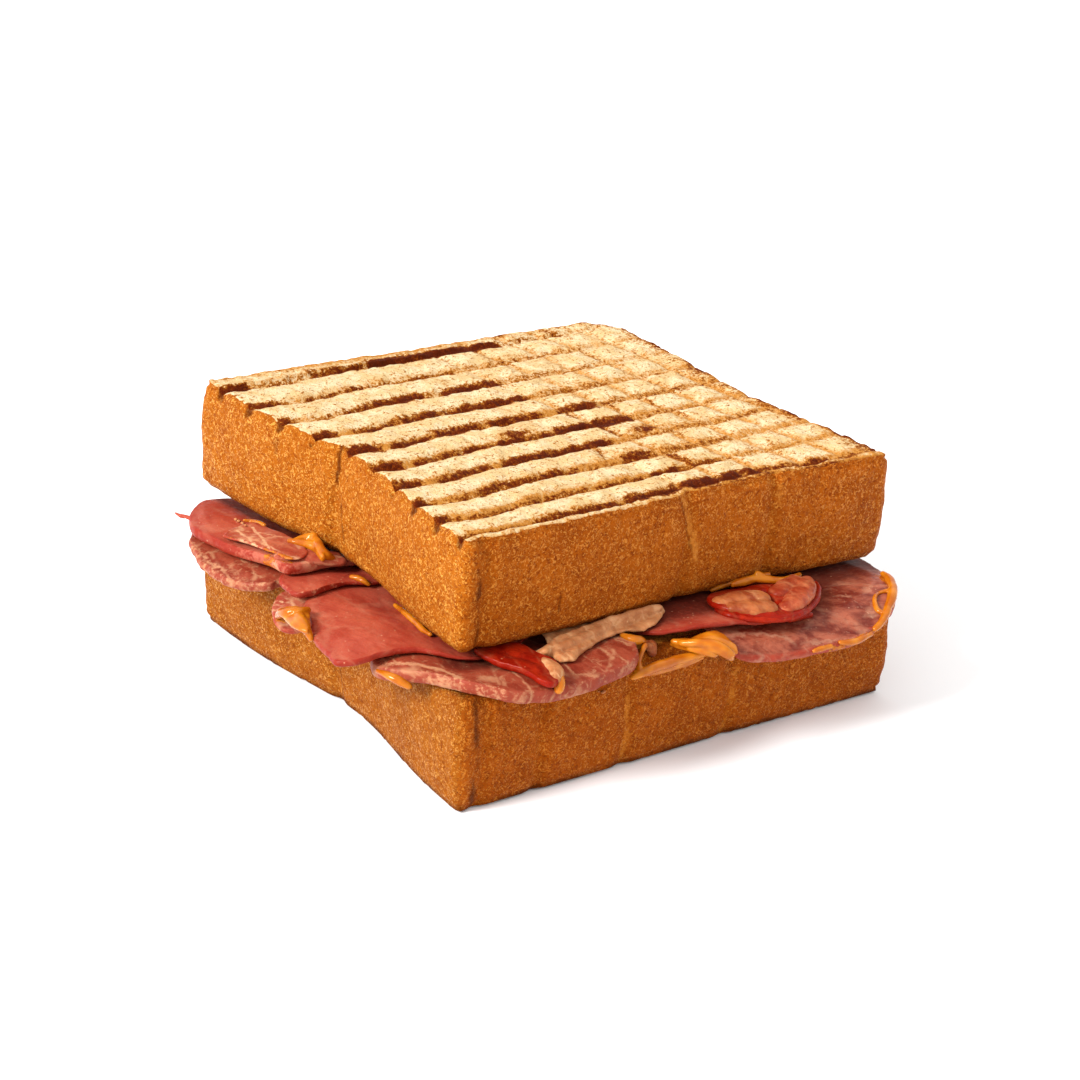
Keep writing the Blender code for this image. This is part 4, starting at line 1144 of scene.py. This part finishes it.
add_soft("sauce_thread", SAUCE, "sauce", (
    ((41.2, -4.0, 24.2, 0.6), (42.9, -3.8, 24.4, 0.9), (45.3, -3.7, 24.8, 1.1), (47.9, -3.4, 25.0, 1.2),
     (50.8, -3.3, 25.0, 1.2), (54.0, -3.1, 25.1, 1.1), (57.0, -3.5, 25.3, 1.0), (60.0, -4.6, 26.0, 1.0),
     (61.6, -6.4, 27.0, 1.0)),
    ((43.7, -3.0, 25.2, 0.6), (44.6, -1.6, 26.4, 0.5), (46.4, -0.2, 27.6, 0.5), (47.8, 0.8, 28.4, 0.6)),
), node="sauce_string", seed=33)
add_soft("sauce_curl_left", SAUCE, "sauce", (
    ((1.7, 72.0, 34.5, 0.5), (3.4, 72.2, 34.7, 0.8), (5.4, 71.6, 35.1, 0.9), (6.3, 70.3, 35.7, 0.8)),
    ((6.2, 70.4, 35.3, 0.8), (5.3, 67.2, 35.6, 0.9), (4.2, 64.4, 35.4, 1.0), (4.4, 62.2, 34.6, 0.9),
     (5.6, 62.2, 33.4, 0.8), (7.1, 62.0, 32.4, 0.6)),
    ((1.4, 73.2, 34.3, 0.6), (3.0, 70.5, 34.5, 1.0), (4.2, 67.6, 34.7, 1.2), (5.2, 64.6, 34.0, 1.1),
     (6.4, 62.6, 32.8, 0.8)),
    ((7.7, 79.2, 31.2, 0.5), (6.6, 76.0, 32.2, 0.8), (5.4, 72.8, 33.6, 1.0), (5.4, 69.4, 34.2, 1.2),
     (5.8, 66.2, 33.4, 1.0)),
), node="sauce_flap_left", seed=34)
add_soft("sauce_curl_right", SAUCE, "sauce", (
    ((75.2, 12.4, 30.8, 0.5), (78.4, 12.2, 31.4, 0.7), (81.6, 11.0, 32.0, 0.8), (84.4, 9.4, 32.8, 0.9),
     (86.8, 7.8, 32.9, 1.0), (89.6, 6.2, 32.6, 0.9), (93.0, 6.4, 32.1, 0.9), (96.0, 7.6, 31.6, 0.8),
     (98.0, 8.8, 31.2, 0.6)),
    ((85.6, 9.2, 34.0, 0.7), (86.6, 8.2, 33.2, 0.9)),
), node="sauce_flap_right", seed=35)
add_soft("ham_wisp", SMOOTH_HAM, "ham_smooth", (
    ((-9.3, 106.9, 30.4, 0.22), (-9.1, 106.0, 30.5, 0.3), (-8.7, 104.6, 30.6, 0.4),
     (-8.2, 102.8, 30.7, 0.55), (-7.6, 101.0, 30.7, 0.7)),
), node="ham_shred", voxel=0.12, rounds=4, swell=0.02, seed=36)

add_soft("curl_lobe_left", CURL_MEAT, "bacon", (
    ((71.4, 4.4, 32.0, 2.2), (75.0, 2.6, 32.2, 3.4), (79.0, 1.4, 32.2, 3.3)),
    ((72.2, 0.6, 32.1, 2.2), (75.0, -1.8, 32.2, 2.9), (78.4, -2.8, 32.0, 2.6)),
), flat=0.5, rounds=20, lump=0.2, seed=56)
add_soft("curl_lobe_right", CURL_PINK, "bacon", (
    ((83.0, -4.4, 31.6, 2.0), (86.4, -3.2, 31.8, 2.8), (90.2, -0.8, 31.9, 3.2), (94.2, 2.6, 31.7, 2.7),
     (96.8, 5.0, 31.4, 1.8)),
    ((86.0, 2.0, 32.2, 2.4), (90.0, 3.6, 32.1, 2.7), (94.0, 6.0, 31.7, 2.0)),
), flat=0.5, rounds=20, lump=0.2, seed=62)
add_soft("curl_rim", BACON, "bacon", (
    ((70.0, 3.6, 30.8, 0.7), (70.4, 0.2, 30.8, 0.8), (72.4, -2.8, 30.7, 0.9), (76.3, -5.4, 30.7, 0.9),
     (81.5, -7.0, 30.5, 0.9), (87.0, -6.0, 30.5, 0.9), (92.2, -3.2, 30.5, 0.9), (97.0, 1.3, 30.6, 0.8),
     (99.4, 5.0, 30.5, 0.6)),
), rounds=12, lump=0.2, seed=57)
add_soft("tip_end", PALE_MEAT, "bacon", (
    ((21.0, 1.0, 30.8, 0.9), (20.8, -1.2, 30.9, 1.4), (20.4, -3.4, 30.9, 1.7), (19.8, -5.4, 30.6, 1.5),
     (18.8, -6.8, 30.2, 1.1)),
), flat=0.75, rounds=10, lump=0.2, seed=58)
add_soft("tip_sauce", SAUCE, "sauce", (
    ((20.2, -4.8, 30.4, 0.8), (19.7, -6.2, 30.0, 1.2), (19.1, -7.4, 29.3, 1.2), (18.6, -8.0, 28.5, 0.9)),
), rounds=8, seed=59)
add_soft("ham_fold", MARBLED_HAM, "ham_marbled", (
    ((-3.5, 68.2, 33.3, 1.8), (0.0, 65.6, 33.3, 2.3), (3.6, 63.6, 33.0, 2.3), (7.6, 62.2, 32.3, 2.0)),
    ((0.5, 69.5, 33.2, 1.8), (4.0, 67.0, 33.0, 2.2), (8.0, 65.0, 32.2, 2.0)),
), flat=0.42, rounds=16, lump=0.1, seed=63)
add_soft("sauce_seam", SAUCE, "sauce", (
    ((10.0, 41.8, 29.3, 0.4), (9.1, 37.8, 30.0, 0.6), (8.1, 34.2, 30.7, 0.7), (7.3, 30.8, 31.1, 0.75),
     (6.7, 27.5, 31.3, 0.7), (6.3, 24.6, 31.3, 0.6), (6.5, 22.4, 31.2, 0.4)),
), voxel=0.15, rounds=8, lump=0.14, seed=42)
add_soft("sauce_middle", SAUCE, "sauce", (
    ((8.2, 57.1, 30.4, 0.5), (9.0, 55.8, 30.4, 0.7), (9.5, 54.2, 30.3, 0.6), (10.3, 53.4, 29.6, 0.4)),
), voxel=0.15, rounds=8, seed=43)
add_soft("sauce_rim_right", SAUCE, "sauce", (
    ((119.2, 3.6, 29.1, 0.6), (118.8, 1.1, 29.0, 0.9), (116.9, -2.4, 28.6, 1.1),
     (114.0, -5.4, 27.9, 1.1), (111.5, -7.2, 26.9, 0.9), (109.1, -8.9, 26.0, 0.9),
     (106.5, -10.3, 25.0, 0.8), (104.5, -10.8, 24.3, 0.6)),
    ((115.4, -2.9, 28.3, 0.6), (112.9, -2.5, 28.1, 0.45), (110.7, -3.4, 27.9, 0.4),
     (109.3, -4.9, 27.3, 0.45), (108.5, -6.9, 26.5, 0.6), (109.1, -8.6, 26.1, 0.7)),
    ((102.8, -11.5, 23.7, 0.5), (100.3, -11.9, 23.6, 0.6), (97.8, -12.2, 23.4, 0.7),
     (95.3, -12.2, 23.6, 0.7), (93.4, -11.7, 23.9, 0.5)),
    ((90.3, -12.0, 23.8, 0.5), (87.9, -11.9, 23.7, 0.6), (85.8, -11.7, 23.5, 0.5)),
), voxel=0.18, rounds=10, lump=0.12, seed=46)
add_soft("sauce_beside_strip", SAUCE, "sauce", (
    ((44.7, 5.2, 29.6, 0.6), (44.6, 3.3, 29.9, 0.8), (45.6, 1.8, 29.8, 1.0), (47.6, 2.0, 29.0, 0.9),
     (48.8, 2.6, 28.4, 0.6)),
), rounds=10, lump=0.12, seed=47)
add_soft("bacon_bit", BACON, "bacon", (
    ((84.7, -3.7, 27.9, 0.5), (87.4, -3.5, 28.1, 0.9), (90.0, -3.5, 28.1, 0.9), (91.2, -3.7, 27.9, 0.5)),
), voxel=0.17, rounds=8, lump=0.15, seed=49)
add_soft("meat_crumb", CURL_MEAT, "meat_pale", (
    ((51.6, 3.2, 26.9, 0.9), (50.6, 1.9, 26.8, 1.1), (50.0, 0.8, 26.0, 0.9)),
    ((50.0, 2.8, 27.4, 0.7), (49.6, 1.4, 27.2, 0.8)),
), voxel=0.17, rounds=6, lump=0.35, seed=51)
add_soft("sauce_near", SAUCE, "sauce", (
    ((-7.7, 20.4, 26.8, 0.5), (-7.0, 17.8, 26.9, 0.9), (-6.0, 15.6, 26.6, 1.2), (-5.1, 14.2, 26.0, 1.1),
     (-4.5, 13.2, 25.5, 0.7)),
), flat=0.7, voxel=0.17, rounds=10, seed=60)
add_soft("sauce_back", SAUCE, "sauce", (
    ((1.2, 93.4, 31.7, 0.35), (2.6, 92.2, 31.6, 0.5), (2.8, 89.6, 32.2, 0.55), (2.8, 87.0, 32.6, 0.5)),
), voxel=0.15, rounds=8, seed=61)
add_soft("wall_crumbs", PALE_MEAT, "meat_pale", (
    ((35.7, -0.9, 20.6, 0.35), (36.2, -0.9, 20.7, 0.4)),
    ((34.9, -0.8, 21.0, 0.25), (34.7, -0.8, 21.0, 0.2)),
), voxel=0.1, rounds=3, swell=0.02, seed=52)
add_soft("fat_pearls", PALE_MEAT, "meat_pale", (
    ((-0.6, 94.4, 32.0, 0.36), (-0.6, 94.1, 32.0, 0.36)),
    ((-0.5, 93.2, 32.0, 0.36), (-0.4, 93.0, 32.0, 0.3)),
    ((-0.2, 91.9, 31.9, 0.4), (-0.2, 91.6, 31.9, 0.36)),
    ((-1.2, 88.6, 32.8, 0.3), (-1.3, 88.4, 32.8, 0.3)),
), voxel=0.1, rounds=2, swell=0.02, seed=53)


# Floor, light and camera

def add_floor():
    """Wide plain floor under the sandwich."""
    mesh = bpy.data.meshes.new("floor")
    half = FLOOR_HALF
    mesh.from_pydata([(-half, -half, 0), (half, -half, 0), (half, half, 0), (-half, half, 0)], [],
                     [(0, 1, 2, 3)])
    floor = bpy.data.objects.new("floor", mesh)
    floor.location.z = FLOOR_HEIGHT
    bpy.context.scene.collection.objects.link(floor)
    look = Look("floor_white")
    mesh.materials.append(look.finish(FLOOR_WHITE, 0.9, Specular_IOR_Level=0.0))


def add_sun():
    """Soft light from the left, turned a little towards the back."""
    data = bpy.data.lights.new("key", "SUN")
    data.energy = SUN_STRENGTH
    data.angle = math.radians(SUN_SPREAD_DEG)
    rise, turn = math.radians(SUN_RISE_DEG), math.radians(SUN_TURN_DEG)
    beam = Vector((math.cos(rise) * math.cos(turn), -math.cos(rise) * math.sin(turn), -math.sin(rise)))
    light = bpy.data.objects.new("key", data)
    light.location = place(SUN_PLACE)
    light.rotation_euler = beam.to_track_quat("-Z", "Y").to_euler()
    bpy.context.scene.collection.objects.link(light)


add_floor()
add_sun()

world = bpy.data.worlds.new("studio")
world.use_nodes = True
world.node_tree.nodes["Background"].inputs["Color"].default_value = (1.0, 1.0, 1.0, 1.0)
world.node_tree.nodes["Background"].inputs["Strength"].default_value = SKY_STRENGTH
bpy.context.scene.world = world
bpy.context.scene.view_settings.view_transform = "Standard"

camera_data = bpy.data.cameras.new("camera")
camera_data.lens = CAMERA_LENS
camera_data.sensor_width = SENSOR
camera_data.clip_start = CLIP_START
camera = bpy.data.objects.new("camera", camera_data)
camera.location = place(CAMERA_PLACE)
camera.rotation_euler = Euler([math.radians(angle) for angle in CAMERA_ANGLES_DEG], "XYZ")
bpy.context.scene.collection.objects.link(camera)
bpy.context.scene.camera = camera
